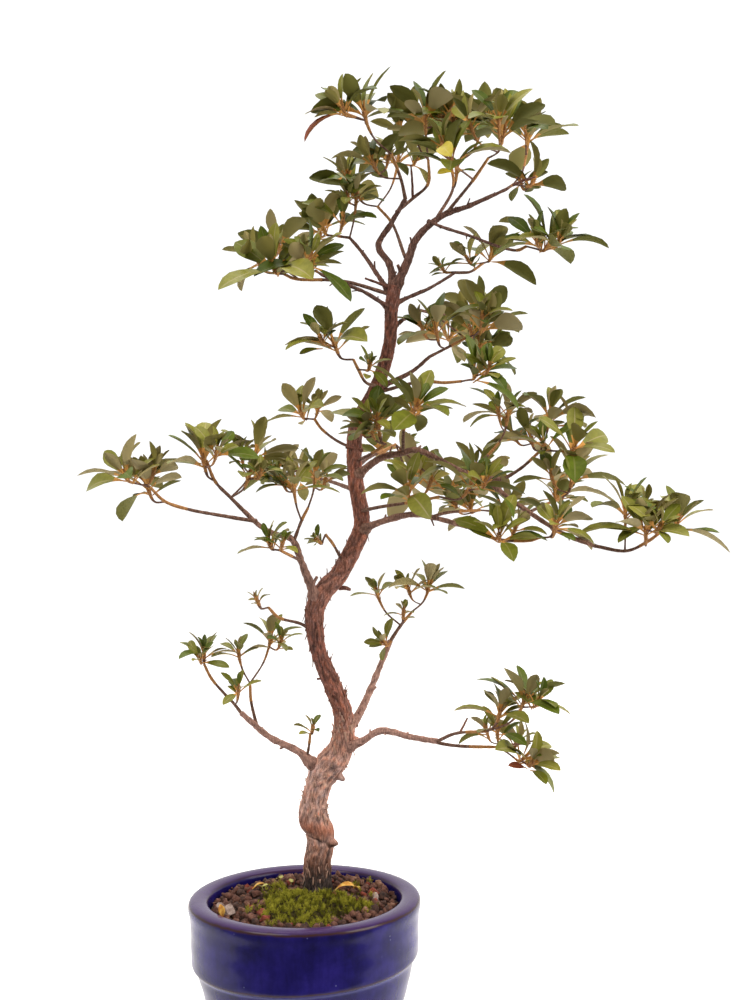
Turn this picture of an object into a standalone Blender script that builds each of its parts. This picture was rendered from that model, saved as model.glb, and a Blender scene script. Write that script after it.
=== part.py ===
"""Azalea bonsai in a round blue glazed pot, in metres, +Z up.

The origin is the centre of the pot's flat underside, and -Y is the tree's front.
All lengths below are millimetres in that frame; `solid` turns them into metres.
"""

import math
import random

import bmesh
import bpy
from mathutils import Vector
from mathutils.bvhtree import BVHTree

MM = 0.001
GAP = 0.3  # between any two solids
CLEAR = 0.5  # a leaf that comes this near a limb or another mass is left out

POT_RADIUS = 75.0  # at the rolled lip
POT_HEIGHT = 98.3
POT_SIDES = 32
DRAIN_RADIUS = 5.0
DRAIN_CIRCLE = 26.0

GROUND = 95.3  # the flat cut under the trunk
TRUNK_SIDES = 9
STUB_SIDES = 6
BOUGH_SIDES = 5
TWIG_SIDES = 3
TRUNK_STEP = 14.0
BOUGH_STEP = 15.0
STEM_STEP = 16.0
STEM_TIP = 0.9  # radius

LEAVES = 7  # in a full whorl
GOLDEN_ANGLE = 2.39996

for item in list(bpy.data.objects):
    bpy.data.objects.remove(item, do_unlink=True)


# ---------------------------------------------------------------- materials
def material(name, colour, roughness, coat=0.0):
    found = bpy.data.materials.new(name)
    found.use_nodes = True
    shader = found.node_tree.nodes["Principled BSDF"]
    shader.inputs["Base Color"].default_value = (*colour, 1.0)
    shader.inputs["Roughness"].default_value = roughness
    shader.inputs["Metallic"].default_value = 0.0
    shader.inputs["Coat Weight"].default_value = coat
    found.diffuse_color = (*colour, 1.0)
    return found


BARK = material("bark", (0.26, 0.15, 0.10), 0.85)
TWIG = material("young bark", (0.20, 0.10, 0.07), 0.8)
LEAF = material("leaf", (0.09, 0.12, 0.03), 0.55)
GLAZE = material("cobalt glaze", (0.015, 0.02, 0.22), 0.12, 1.0)
GRAVEL = material("gravel", (0.13, 0.06, 0.045), 0.9)
MOSS = material("moss", (0.14, 0.17, 0.03), 0.95)


# ------------------------------------------------------------ limb building
def smooth(points, radii, step):
    """Rows of (centre, radius) about `step` apart on a curve through the points."""
    rows = [Vector((*p, r)) for p, r in zip(points, radii)]
    ends = [2 * rows[0] - rows[1], *rows, 2 * rows[-1] - rows[-2]]
    found = []
    for a, b, c, d in zip(ends, ends[1:], ends[2:], ends[3:]):
        count = max(1, round((c - b).length / step))
        for k in range(count):
            t = k / count
            bend, twist = 2 * a - 5 * b + 4 * c - d, 3 * b - a - 3 * c + d
            found.append(0.5 * (2 * b + (c - a) * t + bend * t**2 + twist * t**3))
    found.append(rows[-1])
    return [(row.to_3d(), row.w) for row in found]


def taper(points, first, last):
    """A radius for each point, falling evenly along the limb."""
    lengths = [0.0]
    for a, b in zip(points, points[1:]):
        lengths.append(lengths[-1] + (Vector(b) - Vector(a)).length)
    return [first + (last - first) * s / lengths[-1] for s in lengths]


def tube(rows, sides, grow=0.0, turn=0.0):
    """Vertices and faces of a closed tapering tube, its walls moved out by `grow`."""
    wider = grow / math.cos(math.pi / sides)
    centres = [row[0].copy() for row in rows]
    centres[0] -= (centres[1] - centres[0]).normalized() * grow
    centres[-1] += (centres[-1] - centres[-2]).normalized() * grow
    tangent = (centres[1] - centres[0]).normalized()
    side = tangent.orthogonal().normalized()
    points = []
    for k, (_, radius) in enumerate(rows):
        ahead = (centres[min(k + 1, len(rows) - 1)] - centres[max(k - 1, 0)]).normalized()
        side = (tangent.rotation_difference(ahead) @ side).normalized()
        tangent = ahead
        other = tangent.cross(side)
        for s in range(sides):
            angle = turn + 2 * math.pi * s / sides
            points.append(centres[k] + (side * math.cos(angle) + other * math.sin(angle)) * (radius + wider))
    faces = []
    for k in range(len(rows) - 1):
        for s in range(sides):
            a, b = k * sides + s, k * sides + (s + 1) % sides
            faces.append((a, b, b + sides, a + sides))
    last = (len(rows) - 1) * sides
    faces.append(tuple(reversed(range(sides))))
    faces.append(tuple(range(last, last + sides)))
    return points, faces


def blade(base, along, face, length, width, extra=0.0):
    """A keeled leaf of six faces: a thick root, its widest place past the middle, and a tip that droops."""
    across = along.cross(face).normalized()
    half = width / 2 + extra
    root = base - along * extra
    middle = base + along * length * 0.58 + face * (length * 0.05 + extra)
    tip = base + along * (length + extra)
    points = [
        root + face * (0.55 + extra),
        root - face * (0.55 + extra),
        middle - across * half,
        middle + across * half,
        tip,
    ]
    return points, [(0, 3, 2), (2, 3, 4), (1, 2, 4), (1, 4, 3), (0, 2, 1), (0, 1, 3)]


def solid(name, points, faces, look):
    mesh = bpy.data.meshes.new(name)
    mesh.from_pydata([Vector(p) * MM for p in points], [], faces)
    tool = bmesh.new()
    tool.from_mesh(mesh)
    bmesh.ops.triangulate(tool, faces=tool.faces)
    bmesh.ops.recalc_face_normals(tool, faces=tool.faces)
    tool.to_mesh(mesh)
    tool.free()
    mesh.materials.append(look)
    made = bpy.data.objects.new(name, mesh)
    bpy.context.scene.collection.objects.link(made)
    return made


def tree_of(points, faces):
    return BVHTree.FromPolygons([Vector(p) for p in points], faces, epsilon=0.0)


def tree_of_object(made):
    faces = [tuple(face.vertices) for face in made.data.polygons]
    return tree_of([vertex.co / MM for vertex in made.data.vertices], faces)


def one_body(mesh, flat):
    """Keeps the largest closed piece, so a hollow that fusing sealed is filled. Says whether it is closed."""
    tool = bmesh.new()
    tool.from_mesh(mesh)
    if flat:
        bmesh.ops.dissolve_limit(tool, angle_limit=math.radians(2), verts=tool.verts, edges=tool.edges)
    bmesh.ops.triangulate(tool, faces=tool.faces)
    left, islands = set(tool.faces), []
    while left:
        wave = [left.pop()]
        island = list(wave)
        while wave:
            beside = {f for edge in wave.pop().edges for f in edge.link_faces} & left
            left -= beside
            wave.extend(beside)
            island.extend(beside)
        size = sum(f.verts[0].co.dot(f.verts[1].co.cross(f.verts[2].co)) for f in island)
        islands.append((size, island))
    islands.sort(key=lambda pair: pair[0])
    for _, island in islands[:-1]:
        bmesh.ops.delete(tool, geom=island, context="FACES")
    loose = [v for v in tool.verts if not v.link_faces]
    bmesh.ops.delete(tool, geom=loose, context="VERTS")
    sound = all(len(edge.link_faces) == 2 for edge in tool.edges)
    tool.to_mesh(mesh)
    tool.free()
    return sound


def join(made, operation, others):
    """Applies one Boolean of `others` to the object, and removes them."""
    group = bpy.data.collections.new("operand")
    bpy.context.scene.collection.children.link(group)
    for other in others:
        bpy.context.scene.collection.objects.unlink(other)
        group.objects.link(other)
    for solver in ("EXACT", "MANIFOLD"):
        modifier = made.modifiers.new("join", "BOOLEAN")
        modifier.operation = operation
        modifier.operand_type = "COLLECTION"
        modifier.collection = group
        modifier.solver = solver
        bpy.context.view_layer.update()
        graph = bpy.context.evaluated_depsgraph_get()
        mesh = bpy.data.meshes.new_from_object(made.evaluated_get(graph))
        made.modifiers.clear()
        rough = mesh.copy()
        if one_body(mesh, True):
            break
        mesh = rough
        if one_body(mesh, False):
            break
    made.data = mesh
    for other in others:
        bpy.data.objects.remove(other, do_unlink=True)
    bpy.data.collections.remove(group)


# ---------------------------------------------------------- trunk and boughs
# Each trunk row is x, y, z and radius: its lean, its two bends and its knuckles.
TRUNK = [
    (8, 12, GROUND, 10.8), (8, 12, 101, 9.2), (8, 11, 114, 8.4), (10, 10, 132, 8.7), (6, 8, 150, 9.2),
    (9, 7, 166, 8.3), (14, 6, 177, 9.2), (23, 4, 189, 8.6), (26, 3, 200, 7.2), (26, 0, 216, 5.8),
    (20, -4, 234, 5.7), (11, -9, 258, 5.0), (9, -9, 282, 6.1), (15, -7, 295, 6.1), (25, -4, 306, 5.9),
    (35, 0, 324, 5.6), (40, 4, 339, 5.2), (36, 9, 368, 4.9), (37, 12, 401, 4.8), (51, 9, 428, 4.7),
    (59, 4, 454, 4.1), (61, 1, 479, 4.3), (63, 0, 492, 4.5),
]  # fmt: skip
# Old pruning stubs and knots on the trunk: root, end, radius.
STUBS = [
    ((14, 7, 132), (19.5, 4, 130), 4.0), ((5, 7, 149), (-1, 4, 147), 3.8),
    ((17, 5, 177), (25, 3, 173), 3.6), ((28, 2, 194), (34, 7, 198), 3.2),
    ((19, -5, 238), (10, -8, 239), 1.1), ((25, -3, 297), (32, -7, 296), 1.6),
    ((66, 0, 487), (44, -2, 497), 1.1), ((41, 9, 386), (30, 5, 388), 1.3),
]  # fmt: skip
# Each bough is its parent, its first and last radius, and its bends from the parent's middle outward.
BOUGHS = {
    "lower_left": (
        "trunk", 2.6, 1.7,
        [(13, 6, 179), (5, 4, 183), (-4, 8, 190), (-23, 16, 198), (-42, 22, 213)],
    ),
    "lower_right": (
        "trunk", 2.5, 1.7,
        [(23, 4, 190), (38, -6, 198), (51, -12, 206), (69, -18, 203), (86, -24, 201)],
    ),
    "centre_right": (
        "trunk", 2.8, 1.7,
        [(25, 3, 199), (34, 12, 209), (41, 18, 221), (51, 26, 243), (58, 30, 259)],
    ),
    "left_shelf": (
        "trunk", 2.7, 1.3,
        [(11, -9, 288), (2, -16, 313), (-4, -22, 329), (-15, -28, 333), (-24, -34, 339), (-33, -38, 348)],
    ),
    "right_lower": (
        "trunk", 2.3, 1.4,
        [(39, 3, 333), (51, -8, 339), (72, -18, 344), (89, -26, 341), (106, -32, 336)],
    ),
    "right_shelf": (
        "trunk", 2.3, 1.4,
        [
            (36, 9, 369), (52, -6, 380), (65, -10, 383), (77, -10, 385), (94, -4, 377), (114, 2, 368),
            (133, 6, 366),
        ],
    ),
    "right_outer": (
        "right_shelf", 1.7, 1.3,
        [(121, 4, 366), (137, -8, 352), (165, -22, 332), (186, -32, 323)],
    ),
    "mid_right": (
        "trunk", 1.6, 1.1,
        [(52, 9, 427), (73, 12, 437), (86, 20, 448)],
    ),
    "back_upper": (
        "trunk", 1.6, 1.1,
        [(59, 3, 461), (68, 34, 474), (82, 62, 485)],
    ),
    "upper_left_low": (
        "trunk", 1.4, 1,
        [(61, 1, 477), (43, -10, 487), (27, -18, 492), (17, -22, 496)],
    ),
    "upper_right_low": (
        "trunk", 1.4, 0.9,
        [(61, 1, 479), (69, 5, 484), (87, 14, 493), (104, 22, 504)],
    ),
    "upper_left": (
        "trunk", 1.7, 1,
        [(61, 1, 486), (52, 8, 501), (43, 16, 516), (34, 22, 528)],
    ),
    "leader_right": (
        "trunk", 3.0, 1.0,
        [(63, 0, 489), (71, -3, 506), (78, -6, 522), (94, -10, 535), (112, -12, 541), (135, -12, 551)],
    ),
    "leader_left": (
        "trunk", 2.5, 1.4,
        [(63, 0, 489), (60, 6, 507), (53, 9, 520), (61, 10, 534), (71, 8, 550)],
    ),
    "upper_right": (
        "leader_right", 1.1, 0.8,
        [(85, -8, 532), (95, -16, 526), (108, -24, 520), (128, -34, 510)],
    ),
}  # fmt: skip

rows_of, made_by = {}, {}
rows_of["trunk"] = (smooth([row[:3] for row in TRUNK], [row[3] for row in TRUNK], TRUNK_STEP), TRUNK_SIDES)
trunk = solid("trunk", *tube(*rows_of["trunk"]), BARK)
for vertex in trunk.data.vertices[:TRUNK_SIDES]:
    vertex.co.z = GROUND * MM


def stub(root, end, radius, grow=0.0):
    """A short six-sided stump that narrows outward."""
    return tube([(Vector(root), radius), (Vector(end), radius * 0.7)], STUB_SIDES, grow, 0.4)


def grown_near(tree, bearer, others):
    """Cutters a gap larger than the bearer, the stubs and the `others` that the tree of a solid meets."""
    cutters = [solid("cutter", *tube(*rows_of[other], grow=GAP), BARK) for other in others]
    if bearer == "trunk":
        for root, end, radius in STUBS:
            grown = stub(root, end, radius, GAP)
            if tree.overlap(tree_of(*grown)):
                cutters.append(solid("cutter", *grown, BARK))
    return cutters


join(trunk, "UNION", [solid("stub", *stub(*row), BARK) for row in STUBS])
made_by["trunk"] = trunk

for name, (parent, first, last, points) in BOUGHS.items():
    rows_of[name] = (smooth(points, taper(points, first, last), BOUGH_STEP), BOUGH_SIDES)
    bough = solid("bough_" + name, *tube(*rows_of[name]), BARK)
    tree = tree_of_object(bough)
    near = [
        other
        for other in made_by
        if other == parent or tree.overlap(tree_of(*tube(*rows_of[other], grow=GAP)))
    ]
    join(bough, "DIFFERENCE", grown_near(tree, parent, near))
    made_by[name] = bough

limb_trees = {name: tree_of_object(made) for name, made in made_by.items()}

# ------------------------------------------------------------ foliage masses
# Each mass is the limb that bears it, its stem's first radius and its stem's bends, then
# its shoots: where the whorl of leaves sits, the length of its longest leaf, and the bearing of
# its lowest leaf in degrees.
MASSES = {
    "lower_left_outer": (
        "lower_left", 1.2, [(-42, 22, 213), (-47, 24, 219), (-54, 26, 226), (-62, 28, 235), (-67, 28, 245)],
        [(-67, 28, 258, 24, 195), (-42, 8, 235, 18, 60)],
    ),
    "lower_left_inner": (
        "lower_left", 1.3, [(-31, 19, 203), (-36, 30, 219), (-37, 34, 231)],
        [(-45, 36, 257, 20, 180), (-23, 42, 267, 26, 255)],
    ),
    "fork_sprig": (
        "lower_left", 1, [(2, 6, 185), (4, 0, 195), (5, -2, 203)],
        [(7, -4, 211, 14, 105)],
    ),
    "lower_right_upper": (
        "lower_right", 1.2, [(86, -24, 201), (98, -30, 207), (116, -36, 209)],
        [(125, -38, 228, 26, 120), (140, -42, 237, 32, 120)],
    ),
    "lower_right_lower": (
        "lower_right", 1.3, [(78, -22, 202), (91, -18, 198), (105, -16, 196), (126, -14, 195)],
        [(124, -22, 213, 22, 270), (139, -4, 201, 20, 150), (143, -14, 195, 32, 90)],
    ),
    "centre_right": (
        "centre_right", 1.4, [(58, 30, 259), (65, 32, 269), (73, 35, 278)],
        [(49, 38, 296, 20, 225), (85, 40, 301, 26, 165), (67, 22, 283, 12, 120), (53, 20, 263, 18, 75)],
    ),
    "trunk_left": (
        "trunk", 1.2, [(9, -9, 269), (0, -11, 275), (-13, -14, 279), (-20, -16, 286)],
        [(-28, -17, 295, 10, 285)],
    ),
    "left_sprig": (
        "left_shelf", 1, [(2, -17, 315), (-2, -30, 318), (-10, -41, 323)],
        [(-17, -46, 333, 22, 15)],
    ),
    "left_outer": (
        "left_shelf", 1.3,
        [(-25, -35, 341), (-50, -50, 346), (-64, -54, 349), (-78, -58, 354), (-87, -60, 363)],
        [(-101, -66, 377, 32, 105), (-91, -48, 371, 32, 90)],
    ),
    "left_middle": (
        "left_shelf", 1.3, [(-33, -38, 348), (-40, -44, 356), (-49, -48, 366), (-54, -50, 379)],
        [(-56, -52, 388, 36, 345), (-26, -26, 390, 30, 45), (-28, -42, 376, 22, 225)],
    ),
    "left_inner": (
        "left_shelf", 1.2, [(-3, -22, 328), (2, -20, 341), (6, -16, 349)],
        [(11, -12, 377, 26, 270), (-2, -34, 370, 28, 315)],
    ),
    "trunk_sprig": (
        "trunk", 1, [(28, -2, 312), (22, -14, 325), (17, -18, 332)],
        [(11, -22, 332, 12, 90)],
    ),
    "right_low": (
        "right_lower", 1.2,
        [(106, -32, 336), (114, -36, 332), (126, -38, 328), (142, -38, 327), (151, -38, 329)],
        [(162, -36, 345, 30, 345), (124, -50, 337, 30, 315)],
    ),
    "right_mid": (
        "right_lower", 1.2, [(83, -23, 342), (96, -10, 345), (117, 2, 346)],
        [(136, 6, 354, 28, 120), (112, 24, 354, 30, 180)],
    ),
    "right_inner": (
        "trunk", 1.3, [(38, 5, 346), (52, -14, 349), (73, -24, 352), (89, -30, 355)],
        [(69, -30, 367, 34, 240), (110, -34, 372, 36, 30)],
    ),
    "right_upper": (
        "right_shelf", 1.3, [(133, 6, 366), (146, 12, 374), (159, 20, 385)],
        [(166, 26, 417, 32, 270), (178, -6, 394, 36, 225), (154, 34, 401, 28, 15)],
    ),
    "right_rear": (
        "right_shelf", 1.2, [(108, 0, 371), (121, 10, 380), (131, 18, 390)],
        [(138, 22, 418, 32, 90), (118, 50, 381, 28, 345)],
    ),
    "right_far": (
        "right_outer", 1.1, [(148, -13, 345), (159, 2, 349), (170, 8, 353)],
        [(179, 10, 376, 36, 285), (170, 34, 361, 26, 300)],
    ),
    "right_outer": (
        "right_outer", 1.2, [(186, -32, 323), (203, -38, 320), (215, -42, 325), (224, -46, 332)],
        [(204, -36, 353, 32, 180), (212, -58, 341, 34, 120), (234, -48, 345, 34, 150)],
    ),
    "centre_front": (
        "right_shelf", 1.2, [(67, -10, 383), (67, -28, 395), (69, -40, 408)],
        [(75, -46, 418, 36, 210)],
    ),
    "centre_low": (
        "trunk", 1.1, [(37, 10, 379), (48, -8, 384), (56, -14, 389)],
        [(51, -20, 409, 36, 60), (46, -26, 405, 24, 255)],
    ),
    "back_shelf": (
        "trunk", 1.7, [(37, 9, 375), (44, 42, 382), (57, 74, 389), (64, 84, 393)],
        [(53, 112, 396, 28, 210), (77, 98, 376, 34, 165), (103, 80, 369, 34, 150)],
    ),
    "back_left": (
        "trunk", 1.6, [(38, 8, 359), (20, 40, 366), (2, 70, 371), (-5, 78, 375)],
        [(-5, 100, 379, 30, 135), (-24, 84, 381, 26, 165)],
    ),
    "mid_left_low": (
        "trunk", 1.1, [(36, 11, 387), (24, 18, 393), (14, 24, 401), (9, 28, 408)],
        [(-1, 30, 419, 30, 255)],
    ),
    "mid_left": (
        "trunk", 1.2, [(53, 9, 428), (44, -6, 429), (39, -12, 437), (36, -16, 443)],
        [(23, -20, 462, 36, 255), (47, -26, 443, 18, 270)],
    ),
    "mid_right_upper": (
        "mid_right", 1.1, [(86, 20, 448), (97, 26, 454), (110, 32, 461)],
        [(125, 36, 478, 38, 120), (90, 16, 474, 36, 45)],
    ),
    "mid_right_lower": (
        "trunk", 1.2, [(52, 9, 424), (78, 3, 430), (94, 0, 429), (105, -8, 429)],
        [(115, -12, 441, 34, 300)],
    ),
    "back_upper": (
        "back_upper", 1.1, [(82, 62, 485), (92, 74, 484)],
        [(125, 100, 496, 34, 198), (105, 98, 477, 32, 225), (128, 68, 467, 34, 330)],
    ),
    "upper_left_outer": (
        "trunk", 1.4, [(62, 0, 486), (30, -3, 495), (2, -12, 495), (-7, -20, 497)],
        [(-13, -32, 508, 42, 255), (-13, 12, 529, 32, 255)],
    ),
    "upper_left_low": (
        "upper_left_low", 1, [(17, -22, 496), (13, -26, 498)],
        [(9, -30, 508, 34, 15)],
    ),
    "upper_left": (
        "upper_left", 1, [(34, 22, 528), (26, 26, 530)],
        [(16, 28, 543, 38, 90), (39, 10, 558, 22, 270)],
    ),
    "upper_right": (
        "upper_right", 1, [(128, -34, 510), (138, -38, 507), (144, -40, 509)],
        [(158, -42, 517, 38, 105)],
    ),
    "upper_right_low": (
        "upper_right_low", 1, [(104, 22, 504), (114, 26, 505), (123, 28, 511)],
        [(129, 30, 524, 34, 315), (95, 32, 513, 14, 300)],
    ),
    "apex_rear": (
        "leader_right", 1.2, [(70, -3, 510), (63, 26, 537), (53, 42, 553)],
        [(37, 46, 576, 36, 245), (68, 62, 597, 32, 165)],
    ),
    "apex_centre": (
        "leader_left", 1.3, [(65, 10, 542), (76, 15, 552), (86, 8, 560), (86, 2, 574)],
        [(84, -5, 609, 38, 330), (78, 26, 611, 32, 270)],
    ),
    "apex_left": (
        "leader_left", 1.3, [(71, 8, 550), (68, 2, 562), (62, -6, 576)],
        [(44, -14, 610, 38, 240), (49, 8, 581, 28, 30)],
    ),
    "apex_middle": (
        "leader_right", 1.2, [(90, -9, 533), (102, 8, 556), (102, 18, 575)],
        [(102, 26, 608, 38, 165), (104, -8, 569, 12, 150), (127, 58, 623, 38, 240)],
    ),
    "apex_front": (
        "leader_right", 1.2, [(96, -10, 536), (103, -18, 543), (113, -26, 554), (122, -32, 566)],
        [(132, -36, 591, 42, 75), (97, -52, 569, 36, 300)],
    ),
    "apex_right": (
        "leader_right", 1.0, [(135, -12, 551), (140, -8, 555)],
        [(154, -2, 564, 28, 135), (155, 34, 604, 36, 270)],
    ),
}  # fmt: skip


def shoot(stem, target, length):
    """The rows of one twig: it leaves the stem where that is nearest below, and turns up into its whorl."""
    target = target - Vector((0, 0, length * 0.18))
    below = target - Vector((0, 0, length * 0.45))
    start = min(stem[len(stem) // 3 :], key=lambda row: (row[0] - below).length)
    root = start[0]
    lean = (target - root).normalized() * 0.7 + Vector((0, 0, 0.8))
    lean.normalize()
    hub = target - lean * max(length * 0.3, 7.5)
    bend = hub - lean * (hub - root).length * 0.4
    thin = min(0.8, start[1])
    middle = root * 0.25 + bend * 0.5 + hub * 0.25
    top = target - lean * length * 0.05
    return [(root, thin), (middle, thin), (hub, 1.2), (top, 2.5)], lean, target


def whorl(name, target, lean, length, bearing, count):
    """The leaves of one whorl, by the golden angle: the outer ones lie wide, the inner ones stand."""
    dice = random.Random(name)
    side = lean.orthogonal().normalized()
    other = lean.cross(side)
    found = []
    for k in range(count):
        t = k / (count - 1)
        angle = math.radians(bearing) + GOLDEN_ANGLE * k
        tilt = math.radians(90 - 64 * t + dice.uniform(-12, 12))
        out = side * math.cos(angle) + other * math.sin(angle)
        along = (lean * math.cos(tilt) + out * math.sin(tilt)).normalized()
        face = (lean * math.sin(tilt) - out * math.cos(tilt)).normalized()
        roll = math.radians(dice.uniform(-28, 28))
        face = face * math.cos(roll) + along.cross(face) * math.sin(roll)
        size = length * (1.04 - 0.42 * t) * dice.uniform(0.9, 1.08)
        base = target - lean * (length * 0.05 + 4.0 - 3.4 * t) + out * 0.45
        found.append((base, along, face, size, size * dice.uniform(0.48, 0.54)))
    return found


mass_trees = {}
for key, (bearer, first, points, shoots) in MASSES.items():
    name = "foliage_" + key
    stem_rows = smooth(points, taper(points, first, STEM_TIP), STEM_STEP)
    stem = solid(name, *tube(stem_rows, TWIG_SIDES), TWIG)
    tree = tree_of_object(stem)
    others = [other for other, found in limb_trees.items() if other != bearer and tree.overlap(found)]
    solid_trees = limb_trees | mass_trees
    pieces = []
    for number, (x, y, z, length, bearing) in enumerate(shoots):
        rows, lean, target = shoot(stem_rows, Vector((x, y, z)), length)
        twig = tree_of(*tube(rows, TWIG_SIDES, GAP + 0.1))
        if any(twig.overlap(found) for other, found in solid_trees.items() if other != bearer):
            continue
        pieces.append(solid("twig", *tube(rows, TWIG_SIDES), TWIG))
        count = LEAVES - (length < 24) - (length < 16)
        for leaf in whorl(f"{name}{number}", target, lean, length, bearing, count):
            wide = tree_of(*blade(*leaf, CLEAR))
            if not any(wide.overlap(found) for found in solid_trees.values()):
                pieces.append(solid("leaf", *blade(*leaf), LEAF))
    join(stem, "UNION", pieces)
    join(stem, "DIFFERENCE", grown_near(tree, bearer, [bearer, *others]))
    mass_trees[name] = tree_of_object(stem)


# ------------------------------------------------------- pot, soil and moss
def turned(name, profile, look, top=None):
    """A solid turned round Z from a profile of (radius, height), closed on the axis."""
    points, faces = [(0, 0, profile[0][1])], []
    for radius, height in profile[1:-1]:
        for k in range(POT_SIDES):
            angle = 2 * math.pi * (k + 0.5) / POT_SIDES
            x, y = radius * math.cos(angle), radius * math.sin(angle)
            points.append((x, y, height if top is None else top(x, y, height)))
    points.append((0, 0, profile[-1][1] if top is None else top(0, 0, profile[-1][1])))
    for k in range(POT_SIDES):
        after = (k + 1) % POT_SIDES
        faces.append((0, 1 + after, 1 + k))
        for ring in range(len(profile) - 3):
            a = 1 + ring * POT_SIDES
            faces.append((a + k, a + after, a + POT_SIDES + after, a + POT_SIDES + k))
        a = 1 + (len(profile) - 3) * POT_SIDES
        faces.append((a + k, a + after, len(points) - 1))
    return solid(name, points, faces, look)


# A foot, a tapering body, a step out to an upright collar, and a rolled lip.
OUTSIDE = [
    (0, 0), (53, 0), (54.5, 1.6), (61.5, 24), (70.0, 55), (72.6, 58.5), (73.3, 63.5), (73.6, 85),
    (POT_RADIUS, 91), (74.6, 96), (72, POT_HEIGHT),
]  # fmt: skip
INSIDE = [(64.5, POT_HEIGHT), (61.6, 96.5), (61, 92), (63, 84), (63, 56), (47, 9), (0, 9)]
pot = turned("pot", OUTSIDE + INSIDE, GLAZE)
drains = []
for k in range(3):
    angle = math.radians(90 + 120 * k)
    middle = Vector((math.cos(angle), math.sin(angle), 0)) * DRAIN_CIRCLE
    rows = [(middle - Vector((0, 0, 2)), DRAIN_RADIUS), (middle + Vector((0, 0, 12)), DRAIN_RADIUS)]
    drains.append(solid("drain", *tube(rows, 6), GLAZE))
join(pot, "DIFFERENCE", drains)

# The soil keeps a gap to the pot's wall, and its top is a low lumpy mound round the trunk.
LINING = [(0, 9.3), (46.8, 9.3), (62.66, 56.1), (62.66, 83.8), (61.2, 89.2)]
SOIL_TOP = [(52, 92), (40, 93), (28, 94), (14, 95), (0, 95)]
SOIL_HEIGHT = GROUND - GAP
SOIL_FALL = 4.6


def mound(x, y):
    """Height of the soil: level under the trunk's foot, and falling to the wall."""
    off = max(0.0, math.hypot(x - TRUNK[0][0], y - TRUNK[0][1]) - 14.0)
    lumps = 0.5 * math.sin(0.31 * x + 1.3) * math.cos(0.27 * y) + 0.35 * math.sin(0.73 * x - 0.6 * y)
    return SOIL_HEIGHT - SOIL_FALL * min(1.0, off / 44.0) ** 1.3 + lumps * min(1.0, off / 10.0)


def soil_height(x, y, z):
    """The mound inside the wall, and the profile's own height at and below it."""
    return mound(x, y) if z > 90 and math.hypot(x, y) < 58 else z


def soil_with_gap(x, y, z):
    return soil_height(x, y, z) + (GAP if z > 60 else 0)


soil = turned("soil", LINING + SOIL_TOP, GRAVEL, soil_height)

# The moss is a lobed cushion on the mound, thickest in its middle.
MOSS_AT = (4, -17)
MOSS_HALF = (38, 29)
MOSS_LIFT = 5.2
MOSS_UNDERSIDE = 84.0
RINGS, SPOKES = 4, 20


def moss_top(x, y, out):
    return mound(x, y) + MOSS_LIFT * (1 - out**3) + 0.5 * math.sin(0.5 * x) * math.sin(0.45 * y + 1)


cushion, faces = [(*MOSS_AT, moss_top(*MOSS_AT, 0))], []
for ring in range(1, RINGS + 1):
    out = (ring / RINGS) ** 0.8
    for k in range(SPOKES):
        angle = 2 * math.pi * k / SPOKES
        reach = out * (1 + 0.10 * math.sin(3 * angle + 0.7) + 0.06 * math.sin(5 * angle + 2))
        x = MOSS_AT[0] + MOSS_HALF[0] * reach * math.cos(angle)
        y = MOSS_AT[1] + MOSS_HALF[1] * reach * math.sin(angle)
        cushion.append((x, y, moss_top(x, y, out) if ring < RINGS else mound(x, y) - 0.6))
cushion.append((*MOSS_AT, MOSS_UNDERSIDE))
for k in range(SPOKES):
    after = (k + 1) % SPOKES
    faces.append((0, 1 + k, 1 + after))
    for ring in range(RINGS - 1):
        a = 1 + ring * SPOKES
        faces.append((a + k, a + SPOKES + k, a + SPOKES + after, a + after))
    a = 1 + (RINGS - 1) * SPOKES
    faces.append((a + k, len(cushion) - 1, a + after))
moss = solid("moss", cushion, faces, MOSS)
raised = turned("cutter", LINING + SOIL_TOP, GRAVEL, soil_with_gap)
grown = solid("cutter", *tube(*rows_of["trunk"], grow=GAP), BARK)
join(moss, "DIFFERENCE", [raised, grown])
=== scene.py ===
"""Azalea bonsai in a round cobalt-glazed pot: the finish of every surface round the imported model.

Lengths are millimetres until a mesh is made, +Z is up and -Y is the tree's front.
"""

import math
import random

import bpy
import numpy as np
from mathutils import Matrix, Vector, noise
from mathutils.bvhtree import BVHTree


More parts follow.
